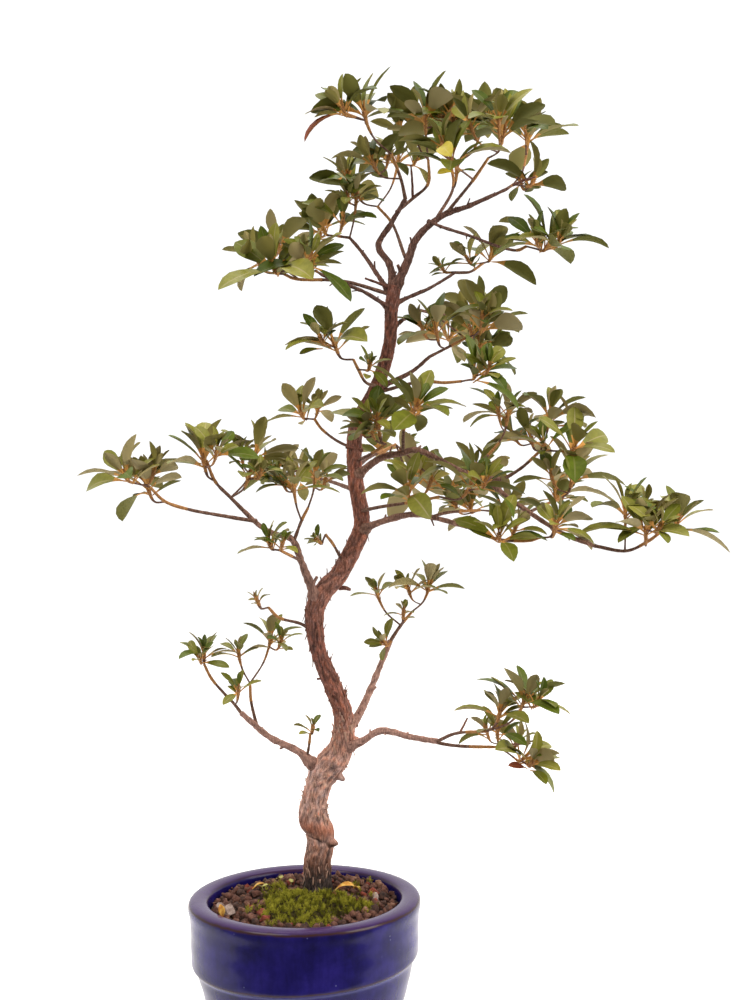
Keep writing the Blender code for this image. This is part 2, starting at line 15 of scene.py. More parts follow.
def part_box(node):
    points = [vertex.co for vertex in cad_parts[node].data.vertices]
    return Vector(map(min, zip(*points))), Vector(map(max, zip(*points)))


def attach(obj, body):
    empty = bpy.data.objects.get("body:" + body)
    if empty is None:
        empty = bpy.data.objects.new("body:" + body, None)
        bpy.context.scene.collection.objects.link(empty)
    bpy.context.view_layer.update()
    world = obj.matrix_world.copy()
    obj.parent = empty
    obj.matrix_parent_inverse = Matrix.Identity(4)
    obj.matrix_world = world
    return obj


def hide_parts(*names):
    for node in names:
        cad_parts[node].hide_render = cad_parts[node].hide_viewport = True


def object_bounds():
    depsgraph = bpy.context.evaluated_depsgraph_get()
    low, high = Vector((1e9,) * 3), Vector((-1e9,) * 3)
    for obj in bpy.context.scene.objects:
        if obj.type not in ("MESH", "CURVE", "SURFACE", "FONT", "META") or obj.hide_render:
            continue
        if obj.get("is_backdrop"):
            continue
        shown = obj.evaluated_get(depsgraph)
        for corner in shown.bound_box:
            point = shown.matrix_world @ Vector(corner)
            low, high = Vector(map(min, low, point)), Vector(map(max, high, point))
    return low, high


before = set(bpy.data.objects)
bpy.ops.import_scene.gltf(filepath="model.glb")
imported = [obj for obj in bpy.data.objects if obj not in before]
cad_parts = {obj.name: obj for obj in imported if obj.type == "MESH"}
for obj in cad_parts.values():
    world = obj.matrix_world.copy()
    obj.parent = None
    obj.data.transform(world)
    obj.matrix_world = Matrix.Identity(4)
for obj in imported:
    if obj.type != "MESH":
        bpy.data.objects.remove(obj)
cad_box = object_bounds()
bpy.ops.object.select_all(action="DESELECT")
MM = 0.001


# ------------------------------------------------------------------- the pot
# A small round training pot, thrown in stoneware and dipped in cobalt glaze. It has a foot, a
# tapering body, a step out to an upright collar and a broad rolled lip. The glaze breaks brown
# where it runs thin over the edges, and gathers milky in the groove under the collar.
def srgb(red, green, blue):
    """A linear colour from the 0 to 255 values a painter would mix."""
    return (*[((v / 255 + 0.055) / 1.055) ** 2.4 if v > 10 else v / 3295 for v in (red, green, blue)], 1.0)


def finish(name, colour, roughness):
    """A new surface finish, its node tree and its shader."""
    made = bpy.data.materials.new(name)
    made.use_nodes = True
    made.diffuse_color = colour
    shader = made.node_tree.nodes["Principled BSDF"]
    shader.inputs["Base Color"].default_value = colour
    shader.inputs["Roughness"].default_value = roughness
    return made, made.node_tree, shader


def node(tree, kind, plugs=None, **settings):
    """Adds a shader node. A plug is a number, a colour or another node's output."""
    made = tree.nodes.new("ShaderNode" + kind)
    for key, value in settings.items():
        setattr(made, key, value)
    for key, value in (plugs or {}).items():
        if isinstance(value, bpy.types.NodeSocket):
            tree.links.new(value, made.inputs[key])
        else:
            made.inputs[key].default_value = value
    return made


def place(tree, stretch=(1.0, 1.0, 1.0)):
    """Where a point lies on the piece, with its axes stretched for the pattern."""
    spot = node(tree, "TexCoord").outputs["Object"]
    return node(tree, "Mapping", {"Vector": spot, "Scale": stretch}).outputs["Vector"]


def clouds(tree, spot, size, detail=3.0, rough=0.55):
    """Soft noise, its patches about `size` millimetres across."""
    plugs = {"Vector": spot, "Scale": 1 / (size * MM), "Detail": detail, "Roughness": rough}
    return node(tree, "TexNoise", plugs).outputs["Fac"]


def ramp(tree, value, *stops):
    """A colour for each stretch of the value. A stop is its place, then a grey or a red, green and blue."""
    made = node(tree, "ValToRGB", {"Fac": value})
    bar = made.color_ramp.elements
    while len(bar) < len(stops):
        bar.new(0.5)
    for stop, (at, *tone) in zip(bar, stops):
        stop.position = at
        stop.color = srgb(*tone) if len(tone) == 3 else (*(tone * 3), 1.0)
    return made.outputs["Color"]


def mix(tree, factor, first, second, way="MIX"):
    """Two colours laid over each other."""
    plugs = {0: factor, 6: first, 7: second}
    return node(tree, "Mix", plugs, data_type="RGBA", blend_type=way).outputs[2]


def bump(tree, shader, height, depth, strength=1.0):
    """Fine relief of `depth` millimetres on the surface."""
    plugs = {"Height": height, "Distance": depth * MM, "Strength": strength}
    tree.links.new(node(tree, "Bump", plugs).outputs["Normal"], shader.inputs["Normal"])


def tube(rings, sides):
    """Each side with the next one round, where the last ring starts, and the faces between the rings."""
    around, last = [(s, (s + 1) % sides) for s in range(sides)], (rings - 1) * sides
    return around, last, [
        (k + s, k + t, k + sides + t, k + sides + s) for k in range(0, last, sides) for s, t in around
    ]


def made_of(name, points, faces):
    """A new active object, from its points in millimetres and its faces."""
    mesh = bpy.data.meshes.new(name)
    mesh.from_pydata([Vector(point) * MM for point in points], [], faces)
    made = bpy.data.objects.new(name, mesh)
    bpy.context.scene.collection.objects.link(made)
    bpy.context.view_layer.objects.active = made
    return made


def turn_on(profile, sides):
    """Turns a solid on the wheel: rings of (radius, height), closed by a disc at either end."""
    turns = [2 * math.pi * s / sides for s in range(sides)]
    points = [(-r * math.sin(turn), r * math.cos(turn), z) for r, z in profile for turn in turns]
    _, last, faces = tube(len(profile), sides)
    return made_of("turned", points, faces + [range(sides - 1, -1, -1), range(last, last + sides)])


def shade(piece, degrees=0):
    """Smooth shading, broken only at edges sharper than the angle if one is given."""
    bpy.ops.object.select_all(action="DESELECT")
    bpy.context.view_layer.objects.active = piece
    piece.select_set(True)
    if degrees:
        bpy.ops.object.shade_smooth_by_angle(angle=math.radians(degrees))
    else:
        bpy.ops.object.shade_smooth()


def settle(piece, name, slot, *nodes):
    """Names a finished piece, fixes it to the plant, and lets it stand for the plain solids."""
    piece.name = name.replace(" ", "_")
    piece.data.name = piece.name
    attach(piece, "root")
    if nodes:
        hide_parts(*nodes)
    bpy.ops.object.select_all(action="DESELECT")


def line(off, width):
    """1 on a line that is `off` away, fading to 0 beside it."""
    return math.exp(-((off / width) ** 2))


POT_PROFILE = [  # the outside from the foot up, the rolled lip, and the inside down to the floor
    (51.0, 0.0), (53.2, 0.2), (54.4, 1.0), (55.0, 2.6), (57.6, 11.0), (61.5, 24.0), (65.8, 39.0),
    (69.2, 52.0), (70.2, 56.0), (70.9, 57.6), (72.2, 58.6), (73.0, 59.8), (73.4, 62.0), (73.6, 67.0),
    (73.5, 76.0), (73.7, 84.5), (74.3, 88.5), (74.9, 91.5), (75.1, 93.8), (74.9, 95.8), (74.1, 97.2),
    (72.6, 98.1), (70.0, 98.5), (67.0, 98.4), (64.4, 97.9), (62.9, 97.0), (62.0, 95.4), (61.6, 93.0),
    (62.2, 88.0), (63.0, 82.0), (63.0, 70.0), (63.0, 56.0), (55.6, 33.0), (48.4, 11.0), (46.0, 9.1),
    (40.0, 9.0),
]  # fmt: skip
STEP_TILT = 0.034  # the collar's lower edge was trimmed a little out of level
DRAIN_HOLES, DRAIN_OUT, DRAIN_RADIUS = 3, 26 * MM, 5 * MM

pot = turn_on(POT_PROFILE, 64)
smoother = pot.modifiers.new("round", "SUBSURF")
smoother.levels = smoother.render_levels = 2
bpy.ops.object.modifier_apply(modifier=smoother.name)
for k in range(DRAIN_HOLES):
    angle = math.radians(90 + 120 * k)
    at = (DRAIN_OUT * math.cos(angle), DRAIN_OUT * math.sin(angle), 5 * MM)
    bpy.ops.mesh.primitive_cylinder_add(vertices=48, radius=DRAIN_RADIUS, depth=20 * MM, location=at)
    drill = bpy.context.object
    bpy.context.view_layer.objects.active = pot
    drain = pot.modifiers.new("drain", "BOOLEAN")
    drain.object = drill
    bpy.ops.object.modifier_apply(modifier=drain.name)
    bpy.data.objects.remove(drill)

glaze_wear = pot.data.color_attributes.new("Wear", "FLOAT_COLOR", "POINT")
for vertex in pot.data.vertices:
    x, y, z = vertex.co / MM
    around, radius = math.atan2(y, x), math.hypot(x, y)
    step = line(z - 58.5, 9.0) if radius > 66 else 0.0
    lip = max(0.0, (z - 80) / 18.0)
    hand = 0.35 * math.sin(2 * around + 0.6) + 0.22 * math.sin(3 * around + 2.1)
    throw = 1 + (0.12 * math.sin(z * 0.55) + 0.5 * hand * (z > 3)) / 100
    vertex.co.x *= throw
    vertex.co.y *= throw
    vertex.co.z += (step * STEP_TILT * x + lip * 0.5 * hand) * MM
    ragged = 0.5 * noise.noise(vertex.co * 160) + 0.35 * noise.noise(vertex.co * 420)
    outer = line(z - 96.2 + 0.9 * ragged, 0.75) * (radius > 72.5)
    inner = 0.55 * line(z - 96.6 + 0.6 * ragged, 0.7) * (radius < 64)
    edge = 0.8 * line(z - 59.6 + 0.8 * ragged, 0.8) * (radius > 71)
    milk = line(z - 57.2 + 0.5 * ragged, 0.9) * (66 < radius < 72.4)
    foot = line(z, 1.3) * (radius > 46)
    glaze_wear.data[vertex.index].color = (min(1.0, outer + inner + edge), milk, foot, 1.0)

glaze, tree, shader = finish("cobalt glaze", srgb(30, 26, 92), 0.24)
wear = node(tree, "Attribute", attribute_name="Wear").outputs["Color"]
worn = node(tree, "SeparateColor", {"Color": wear}).outputs
drifts = clouds(tree, place(tree), 22, 5.0, 0.6)
blue = ramp(tree, drifts, (0.3, 17, 12, 62), (0.5, 25, 19, 88), (0.72, 38, 30, 110))
runs = clouds(tree, place(tree, (1.0, 1.0, 0.16)), 3.2, 4.0, 0.6)
blue = mix(tree, 0.18, blue, ramp(tree, runs, (0.35, 0.2), (0.65, 0.8)), "OVERLAY")
dots = node(tree, "TexVoronoi", {"Vector": place(tree), "Scale": 1 / (5.5 * MM), "Randomness": 1.0}).outputs
inside_dot = ramp(tree, dots["Distance"], (0.05, 1.0), (0.11, 0.0))
chance = node(tree, "SeparateColor", {"Color": dots["Color"]}).outputs["Red"]
pinholes = mix(tree, 1.0, inside_dot, ramp(tree, chance, (0.86, 0.0), (0.9, 0.6)), "MULTIPLY")
height = node(tree, "SeparateXYZ", {"Vector": place(tree)}).outputs["Z"]
plugs = {"Value": height, "From Min": 95 * MM, "From Max": 97.6 * MM, "To Max": 0.8}
rolled = node(tree, "MapRange", plugs).outputs["Result"]
for where, colour in (
    (pinholes, srgb(104, 108, 156)),
    (rolled, srgb(70, 46, 88)),
    (worn["Red"], srgb(58, 35, 30)),
    (worn["Green"], srgb(62, 62, 122)),
    (worn["Blue"], srgb(150, 110, 80)),
):
    blue = mix(tree, where, blue, colour)
tree.links.new(blue, shader.inputs["Base Color"])
shader.inputs["Specular IOR Level"].default_value = 0.25
shader.inputs["IOR"].default_value = 1.36
shader.inputs["Coat Weight"].default_value = 0.1
shader.inputs["Coat Roughness"].default_value = 0.1
bump(tree, shader, clouds(tree, place(tree), 7, 3.0), 0.18, 0.5)
pot.data.materials.append(glaze)
shade(pot)
settle(pot, "glazed pot", "glaze", "pot")

# ------------------------------------------------------------- soil and grit
# The soil is dark crumbly earth, heaped a little round the trunk and falling to the wall. It is
# strewn with broken lava and baked-clay grit, five to eight millimetres across, and fine crumbs.
TRUNK_FOOT = (8, 12)
GROUND = 95.3  # the soil's height at the trunk
SOIL_RIM = 60.5  # where the loose top begins, inside the wall


def from_trunk(x, y):
    return math.hypot(x - TRUNK_FOOT[0], y - TRUNK_FOOT[1])


def mound(x, y):
    """Height of the soil: level under the trunk's foot, and falling to the wall."""
    off = max(0.0, from_trunk(x, y) - 14.0)
    lumps = 0.5 * math.sin(0.31 * x + 1.3) * math.cos(0.27 * y) + 0.35 * math.sin(0.73 * x - 0.6 * y)
    return GROUND - 0.3 - 4.6 * min(1.0, off / 44.0) ** 1.3 + lumps * min(1.0, off / 10.0)


def mottled(name, roughness, size, detail, rough, *stops, depth=0.0):
    """A finish in cloudy patches of `size` millimetres, with relief of `depth` that follows them."""
    made, tree, shader = finish(name, srgb(*stops[1][1:]), roughness)
    patches = clouds(tree, place(tree), size, detail, rough)
    tree.links.new(ramp(tree, patches, *stops), shader.inputs["Base Color"])
    if depth:
        bump(tree, shader, patches, depth)
    return made


soil_wall = [(46.8, 9.3), (62.6, 56.1), (62.6, 83.8), (61.2, 89.2)]
soil = turn_on(soil_wall + [(60.0 - 1.5 * k, 92.0) for k in range(39)], 160)
for vertex in soil.data.vertices:
    x, y, z = vertex.co / MM
    inside = SOIL_RIM - math.hypot(x, y)
    if z > 90 and inside > 0:
        crumbs = 0.7 * noise.noise(Vector((x, y, 3)) * 0.35) + 0.6 * abs(noise.noise(Vector((x, y, 9)) * 0.9))
        vertex.co.z = (mound(x, y) + crumbs * min(1.0, inside / 3)) * MM
earth = mottled(
    "damp earth", 0.95, 1.3, 5.0, 0.7, (0.3, 30, 21, 17), (0.55, 58, 40, 31), (0.75, 88, 62, 46), depth=0.9
)
soil.data.materials.append(earth)
shade(soil, 50)
settle(soil, "damp soil", "grit", "soil")


def joined(name, parts, *looks):
    """One mesh of many small closed parts: each its points, its triangles and a slot for each."""
    starts = np.concatenate([[0], np.cumsum([len(part[0]) for part in parts])[:-1]])
    points = np.concatenate([part[0] for part in parts]) * MM
    corners = np.concatenate([part[1] + start for part, start in zip(parts, starts)])
    slots = np.concatenate([part[2] if len(part) > 2 else np.zeros(len(part[1])) for part in parts])
    mesh = bpy.data.meshes.new(name)
    mesh.vertices.add(len(points))
    mesh.vertices.foreach_set("co", points.ravel().astype(np.float32))
    mesh.loops.add(corners.size)
    mesh.loops.foreach_set("vertex_index", corners.ravel().astype(np.int32))
    mesh.polygons.add(len(corners))
    mesh.polygons.foreach_set("loop_start", np.arange(0, corners.size, 3, dtype=np.int32))
    mesh.polygons.foreach_set("material_index", slots.astype(np.int32))
    mesh.update(calc_edges=True)
    for look in looks:
        mesh.materials.append(look)
    made = bpy.data.objects.new(name, mesh)
    bpy.context.scene.collection.objects.link(made)
    return made


def broken_stones(seed, count, fineness, rough):
    """A few stones, each an icosphere knocked into its own broken shape, about 1 mm in radius."""
    shapes = []
    for k in range(count):
        bpy.ops.mesh.primitive_ico_sphere_add(subdivisions=fineness, radius=1)
        ball = bpy.context.object
        for vertex in ball.data.vertices:
            spot = vertex.co + Vector((seed + 7.1 * k, 3.3 * k, seed))
            vertex.co *= 1 + rough * noise.noise(spot * 1.1) + 0.5 * rough * noise.noise(spot * 2.9)
            for axis in range(3):
                if abs(vertex.co[axis]) > 0.7:
                    vertex.co[axis] *= 0.7 / abs(vertex.co[axis])
        points = np.array([vertex.co[:] for vertex in ball.data.vertices])
        shapes.append((points, np.array([face.vertices[:] for face in ball.data.polygons])))
        bpy.data.objects.remove(ball)
    return shapes


def spun(angle):
    """Turns rows of points round the upright axis."""
    across, deep = math.cos(angle), math.sin(angle)
    return np.array([[across, deep, 0], [-deep, across, 0], [0, 0, 1]])


def turned(points, dice, scale, at):
    """Points turned any way up, scaled and moved to their place."""
    axis = Vector((dice.gauss(0, 1), dice.gauss(0, 1), dice.gauss(0, 1))).normalized()
    turn = np.array(axis.to_track_quat("Z", "Y").to_matrix())
    return (points * np.array(scale)) @ spun(dice.uniform(0, 2 * math.pi)) @ turn.T + np.array(at)


def scattered(dice, radius):
    """A place in a round, as likely in any part of it."""
    out, angle = radius * math.sqrt(dice.random()), dice.uniform(0, 2 * math.pi)
    return out * math.cos(angle), out * math.sin(angle)


MOSS_AT = (4, -17)
MOSS_HALF = (38, 29)


def lobes(angle):
    return 1 + 0.10 * math.sin(3 * angle + 0.7) + 0.06 * math.sin(5 * angle + 2)


def moss_reach(x, y):
    """How far out in the moss cushion a place is: 0 in its middle and 1 at its lobed rim."""
    across, deep = (x - MOSS_AT[0]) / MOSS_HALF[0], (y - MOSS_AT[1]) / MOSS_HALF[1]
    return math.hypot(across, deep) / lobes(math.atan2(deep, across))


def thin_moss(x, y):
    """How bare the moss is worn: it thins out on the left, where grit has washed over it."""
    return min(1.0, max(0.0, (-22 - x + 0.25 * y) / 9))


def grit_finish(name, *stops):
    """Porous broken stone: three tones in patches, and pits."""
    made, tree, shader = finish(name, srgb(*stops[1][1:]), 0.92)
    patches = clouds(tree, place(tree), 2.4, 5.0, 0.65)
    tree.links.new(ramp(tree, patches, *stops), shader.inputs["Base Color"])
    bump(tree, shader, clouds(tree, place(tree), 0.9, 4.0, 0.7), 0.8)
    return made


GRIT = {  # each kind's share of the grains, and its dark, middle and light tones
    "lava grit": (0.46, (0.3, 54, 31, 24), (0.5, 96, 60, 48), (0.72, 136, 98, 80)),
    "dark grit": (0.30, (0.3, 33, 21, 17), (0.5, 64, 41, 33), (0.72, 100, 69, 56)),
    "baked clay grit": (0.15, (0.3, 74, 45, 33), (0.5, 116, 79, 61), (0.72, 158, 121, 98)),
    "red grit": (0.09, (0.3, 80, 31, 23), (0.5, 130, 56, 40), (0.72, 152, 88, 68)),
}
GRIT_ROOM = 58.6  # the grains' centres keep this far inside the wall
GRIT_EDGE = 61.3
LAYERS = [(2600, 2.6, 4.2, 0.9, 0.0), (2600, 2.2, 4.6, 0.80, 2.1)]  # tries, radii, bare of moss, lift
CRUMBS, CRUMB_ROOM = 1500, 60.4
dice = random.Random("grit")
grit_shapes = broken_stones(1, 9, 2, 0.6)
crumb_shapes = broken_stones(5, 5, 1, 0.5)
grit_parts = {name: [] for name in GRIT}


def grain(shapes):
    """Draws one grain: the pile of its kind, and its shape."""
    kind = dice.choices(list(GRIT), [tones[0] for tones in GRIT.values()])[0]
    return grit_parts[kind], *dice.choice(shapes)


for tries, small, large, bare_from, lift in LAYERS:
    lying = []
    for _ in range(tries):
        x, y = scattered(dice, GRIT_ROOM)
        size = dice.uniform(small, large)
        bare = moss_reach(x, y) - bare_from + 0.35 * thin_moss(x, y)
        if bare < 0 or from_trunk(x, y) < 9.5 + size or math.hypot(x, y) + size > GRIT_EDGE:
            continue
        if any((x - a) ** 2 + (y - b) ** 2 < (0.86 * (size + c)) ** 2 for a, b, c in lying):
            continue
        lying.append((x, y, size))
        pile, points, faces = grain(grit_shapes)
        scale = np.array([1.0, dice.uniform(0.7, 1.0), dice.uniform(0.6, 0.9)]) * size
        rise = 0.25 * size + lift * min(1.0, bare / 0.25)
        pile.append((turned(points, dice, scale, (x, y, mound(x, y) + rise)), faces))
for _ in range(CRUMBS):
    x, y = scattered(dice, CRUMB_ROOM)
    size = dice.uniform(0.5, 1.3)
    if moss_reach(x, y) < 0.86 or from_trunk(x, y) < 11:
        continue
    pile, points, faces = grain(crumb_shapes)
    at = (x, y, mound(x, y) + dice.uniform(0.3, 3.2))
    pile.append((turned(points, dice, np.array([1.0, 0.8, 0.7]) * size, at), faces))
for name, (_, *tones) in GRIT.items():
    settle(joined(name, grit_parts[name], grit_finish(name, *tones)), name, "grit")

# ---------------------------------------------------------------- pale stones
# Three weathered stones, bleached almost white, lie on the grit: two by the left wall and one at
# the right.
STONES = [  # where it lies, and its half lengths
    ((-46.5, -24, 96.1), (4.9, 3.9, 3.0)), ((-53, -13, 95.0), (3.6, 2.8, 2.5)),
    ((45.5, 1, 95.2), (4.4, 3.4, 2.9)),
]  # fmt: skip
stone_parts = [
    (turned(points, dice, halves, at), faces)
    for (points, faces), (at, halves) in zip(broken_stones(11, 3, 4, 0.3), STONES)
]
pale_stone = grit_finish("pale stone", (0.3, 112, 92, 84), (0.5, 156, 136, 128), (0.72, 196, 180, 172))
settle(joined("pale stones", stone_parts, pale_stone), "pale stones", "grit")

# ------------------------------------------------------------------- the moss
# A low lobed cushion of living moss in front of the trunk, with a few stray tufts among the
# grit. It is thousands of short upright stems, each with a star of narrow leaflets.
GOLDEN_ANGLE = 2.39996


def moss_top(x, y):
    out = min(1.0, moss_reach(x, y))
    return mound(x, y) + 5.2 * (1 - out**3) + 0.5 * math.sin(0.5 * x) * math.sin(0.45 * y + 1)


def moss_clump(x, y):
    """How far the moss swells or sinks in its clumps."""
    return 2.0 * noise.noise(Vector((x, y, 2)) * 0.22) + 1.1 * noise.noise(Vector((x, y, 5)) * 0.6)


CUSHION = 36.0
cushion = turn_on([(CUSHION, 84.0), (36.5, 90.0)] + [(CUSHION - 1.2 * k, 95.0) for k in range(30)], 96)
for vertex in cushion.data.vertices:
    x, y, z = vertex.co / MM
    angle, out = math.atan2(y, x), min(1.0, math.hypot(x, y) / CUSHION)
    reach = out * lobes(angle) * 0.97
    x = MOSS_AT[0] + MOSS_HALF[0] * reach * math.cos(angle)
    y = MOSS_AT[1] + MOSS_HALF[1] * reach * math.sin(angle)
    top = moss_top(x, y) - 1.4 + moss_clump(x, y) * (1 - out**6)
    vertex.co = Vector((x, y, top if z > 94 else mound(x, y) - (1.0 if z > 86 else 6.0))) * MM
moss_bed = mottled(
    "moss bed", 1.0, 2.2, 4.0, 0.7, (0.3, 30, 24, 10), (0.5, 54, 46, 18), (0.75, 90, 80, 30), depth=1.0
)
cushion.data.materials.append(moss_bed)
shade(cushion)
settle(cushion, "moss cushion", "moss", "moss")


def moss_stem(dice, height):
    """One stem's star of leaflets: nine slim spikes that spread outward and up."""
    points, faces = [], []
    spike_faces = np.array([(0, 1, 3), (1, 2, 3), (2, 0, 3), (2, 1, 0)])
    turn, up = dice.uniform(0, 2 * math.pi), Vector((0, 0, 1))
    for k in range(9):
        angle = turn + GOLDEN_ANGLE * k
        out = Vector((math.cos(angle), math.sin(angle), 0))
        foot = up * height * (0.35 + 0.075 * k)
        tilt = math.radians(dice.uniform(18, 40) + 4 * k)
        tip = foot + (out * math.cos(tilt) + up * math.sin(tilt)) * height * dice.uniform(0.42, 0.6)
        side = Vector((-out.y, out.x, 0)) * height * 0.055
        points += [foot + side, foot - side, foot + up * height * 0.07, tip]
        faces.append(4 * k + spike_faces)
    return np.array(points), np.concatenate(faces)


MOSS_TONES = {
    "bright moss tips": (164, 160, 56),
    "green moss": (108, 108, 28),
    "deep green moss": (66, 58, 22),
}
MOSS_STEMS, STEM_SHAPES, STEM_HEIGHT = 3100, 14, 3.0
dice = random.Random("moss")
stems = [moss_stem(dice, STEM_HEIGHT) for _ in range(STEM_SHAPES)]
moss_parts = [[] for _ in MOSS_TONES]
tufts = [(dice.uniform(-52, 50), dice.uniform(-50, 52), dice.uniform(2.0, 4.5)) for _ in range(20)]
tufts += [(-28 + dice.gauss(0, 8), 10 + dice.gauss(0, 6), dice.uniform(3.0, 6.5)) for _ in range(14)]
tufts += [(-40 + dice.gauss(0, 5), -22 + dice.gauss(0, 5), dice.uniform(3, 6)) for _ in range(6)]
spots = []
while len(spots) < MOSS_STEMS:
    x, y = MOSS_AT[0] + dice.uniform(-44, 44), MOSS_AT[1] + dice.uniform(-44, 44)
    if moss_reach(x, y) < 1.02 - 0.1 * dice.random() and math.hypot(x, y) < 60:
        spots.append((x, y, moss_top(x, y) - 1.6))
for x, y, radius in tufts:
    if math.hypot(x, y) + radius >= 59 or moss_reach(x, y) <= 0.9:
        continue
    for _ in range(int(radius * radius * 1.7)):
        out, angle = radius * math.sqrt(dice.random()), dice.uniform(0, 2 * math.pi)
        rise = 1.6 + 1.4 * (1 - (out / radius) ** 2)
        spots.append((x + out * math.cos(angle), y + out * math.sin(angle), mound(x, y) + rise))
for x, y, z in spots:
    if from_trunk(x, y) < 9.4 or thin_moss(x, y) > dice.random():
        continue
    clump = moss_clump(x, y)
    points, faces = dice.choice(stems)
    size = dice.uniform(0.7, 1.15) * (1.1 if clump > 0 else 0.8)
    stem = (points * size) @ spun(dice.uniform(0, 2 * math.pi))
    stem[:, :2] += np.outer(stem[:, 2], [dice.gauss(0, 0.25), dice.gauss(0, 0.25)])
    # Stems high on a clump get the brighter tone and stems low in its hollows the deeper one: partly the
    # moss's own colour, partly painted light on the clump tops and painted shade in the hollows.
    tone = min(2, max(0, int(1.6 - 1.4 * clump + dice.gauss(0, 0.5))))
    moss_parts[tone].append((stem + np.array([x, y, z + clump]), faces))
for (name, tone), parts in zip(MOSS_TONES.items(), moss_parts):
    look, _, shader = finish(name, srgb(*tone), 0.9)
    shader.inputs["Specular IOR Level"].default_value = 0.1
    settle(joined(name, parts, look), name, "moss")

# ------------------------------------------------------------------ the trunk
# A slender old azalea trunk that leans and bends twice. Its bark is thin and flaky: grey-tan
# plates on the thick foot, red-brown stringy strips above, and darkest at the very bottom, where it meets the
# moss.
TRUNK = [
    (8, 12, GROUND, 10.8), (8, 12, 101, 9.2), (8, 11, 114, 8.4), (10, 10, 132, 8.7), (6, 8, 150, 9.2),
    (9, 7, 166, 8.3), (14, 6, 177, 9.2), (23, 4, 189, 8.6), (26, 3, 200, 7.2), (26, 0, 216, 5.8),
    (20, -4, 234, 5.7), (11, -9, 258, 5.0), (9, -9, 282, 6.1), (15, -7, 295, 6.1), (25, -4, 306, 5.9),
    (35, 0, 324, 5.6), (40, 4, 339, 5.2), (36, 9, 368, 4.9), (37, 12, 401, 4.8), (51, 9, 428, 4.7),
    (59, 4, 454, 4.1), (61, 1, 479, 4.3), (63, 0, 492, 4.5),
]  # fmt: skip


def smooth(points, radii, step):
    """Rows of (centre, radius) about `step` apart on a curve through the points."""
    rows = [Vector((*p, r)) for p, r in zip(points, radii)]
    ends = [2 * rows[0] - rows[1], *rows, 2 * rows[-1] - rows[-2]]
    found = []
    for a, b, c, d in zip(ends, ends[1:], ends[2:], ends[3:]):
        count = max(1, round((c - b).length / step))
        for k in range(count):
            t = k / count
            bend, twist = 2 * a - 5 * b + 4 * c - d, 3 * b - a - 3 * c + d
            found.append(0.5 * (2 * b + (c - a) * t + bend * t**2 + twist * t**3))
    found.append(rows[-1])
    return [(row.to_3d(), row.w) for row in found]


def taper(points, first, last):
    """A radius for each point, falling evenly along the limb."""
    lengths = [0.0]
    for a, b in zip(points, points[1:]):
        lengths.append(lengths[-1] + (Vector(b) - Vector(a)).length)
    return [first + (last - first) * s / lengths[-1] for s in lengths]


def swept(rows, sides):
    """Goes round a limb row by row: the numbers of row and side, the middle, the radius and the way out."""
    tangent = (rows[1][0] - rows[0][0]).normalized()
    side = tangent.orthogonal().normalized()
    for k, (centre, radius) in enumerate(rows):
        ahead = (rows[min(k + 1, len(rows) - 1)][0] - rows[max(k - 1, 0)][0]).normalized()
        side = (tangent.rotation_difference(ahead) @ side).normalized()
        tangent = ahead
        other = tangent.cross(side)
        for s in range(sides):
            angle = 2 * math.pi * s / sides
            yield k, s, centre, radius, side * math.cos(angle) + other * math.sin(angle)


def limb(name, rows, sides, skin, seed=0.0):
    """A closed limb. `skin` gives each point's rise and colour from its place in the bark."""
    points, colours, along = [], [], [0.0]
    for (before, _), (centre, _) in zip(rows, rows[1:]):
        along.append(along[-1] + (centre - before).length)
    for k, s, centre, radius, out in swept(rows, sides):
        angle = 2 * math.pi * s / sides
        spot = Vector((radius * math.cos(angle), radius * math.sin(angle), along[k] + seed))
        rise, colour = skin(spot, radius, centre)
        points.append(centre + out * (radius + rise))
        colours.append(colour)
    around, last, faces = tube(len(rows), sides)
    points += [rows[0][0], rows[-1][0] + (rows[-1][0] - rows[-2][0]).normalized() * (0.35 * rows[-1][1])]
    colours += [colours[0], colours[last]]
    faces += [(last + sides, t, s) for s, t in around]
    faces += [(last + s, last + t, last + sides + 1) for s, t in around]
    made = made_of(name, points, faces)
    tint = made.data.color_attributes.new("Bark", "FLOAT_COLOR", "POINT")
    tint.data.foreach_set("color", np.array(colours, dtype=np.float32).ravel())
    for face in made.data.polygons:
        face.use_smooth = True
    return made


def blend(low, high, share):
    return [a + (b - a) * share for a, b in zip(low, high)]


def tone_at(scale, place):
    """The colour at a place on a scale of (place, red, green, blue)."""
    for low, high in zip(scale, scale[1:]):
        if place <= high[0]:
            t = min(1.0, max(0.0, (place - low[0]) / (high[0] - low[0])))
            return blend(srgb(*low[1:]), srgb(*high[1:]), t)[:3]
    return srgb(*scale[-1][1:])[:3]


TRUNK_TONES = [
    (95, 30, 21, 17), (109, 46, 30, 24), (119, 132, 92, 75), (132, 184, 142, 126), (176, 190, 150, 136),
    (200, 176, 128, 110), (222, 138, 88, 72), (262, 118, 70, 56), (300, 148, 100, 84), (350, 140, 88, 72),
    (420, 122, 74, 58), (492, 112, 68, 54),
]  # fmt: skip
HEALED_AT, CREASE_AT = 141, 133.6
BARK_SEED = 3  # noise_vector draws its offsets from it, so that each run grows the same bark


def fibres(spot, fine, along):
    """Noise drawn out along the limb."""
    return noise.noise(Vector((spot.x * fine, spot.y * fine, spot.z * along)))


noise.seed_set(BARK_SEED)


def strips(spot, size):
    """Stringy bark: how high a strip stands, how deep the crack beside it is, and its own fibres."""
    warp = 0.8 * noise.noise_vector(spot * (0.16 / size))
    cell = Vector((spot.x / size, spot.y / size, spot.z / (size * 4.2))) + warp
    ridge = noise.ridged_multi_fractal(cell, 0.9, 2.1, 3, 1.0, 2.0)
    scale = noise.noise(Vector((spot.x * 0.42, spot.y * 0.42, spot.z * 0.17)) * (2.6 / size) + warp)
    return 1.4 * scale, min(1.0, max(0.0, ridge - 0.35)), fibres(spot, 1.7, 0.3)


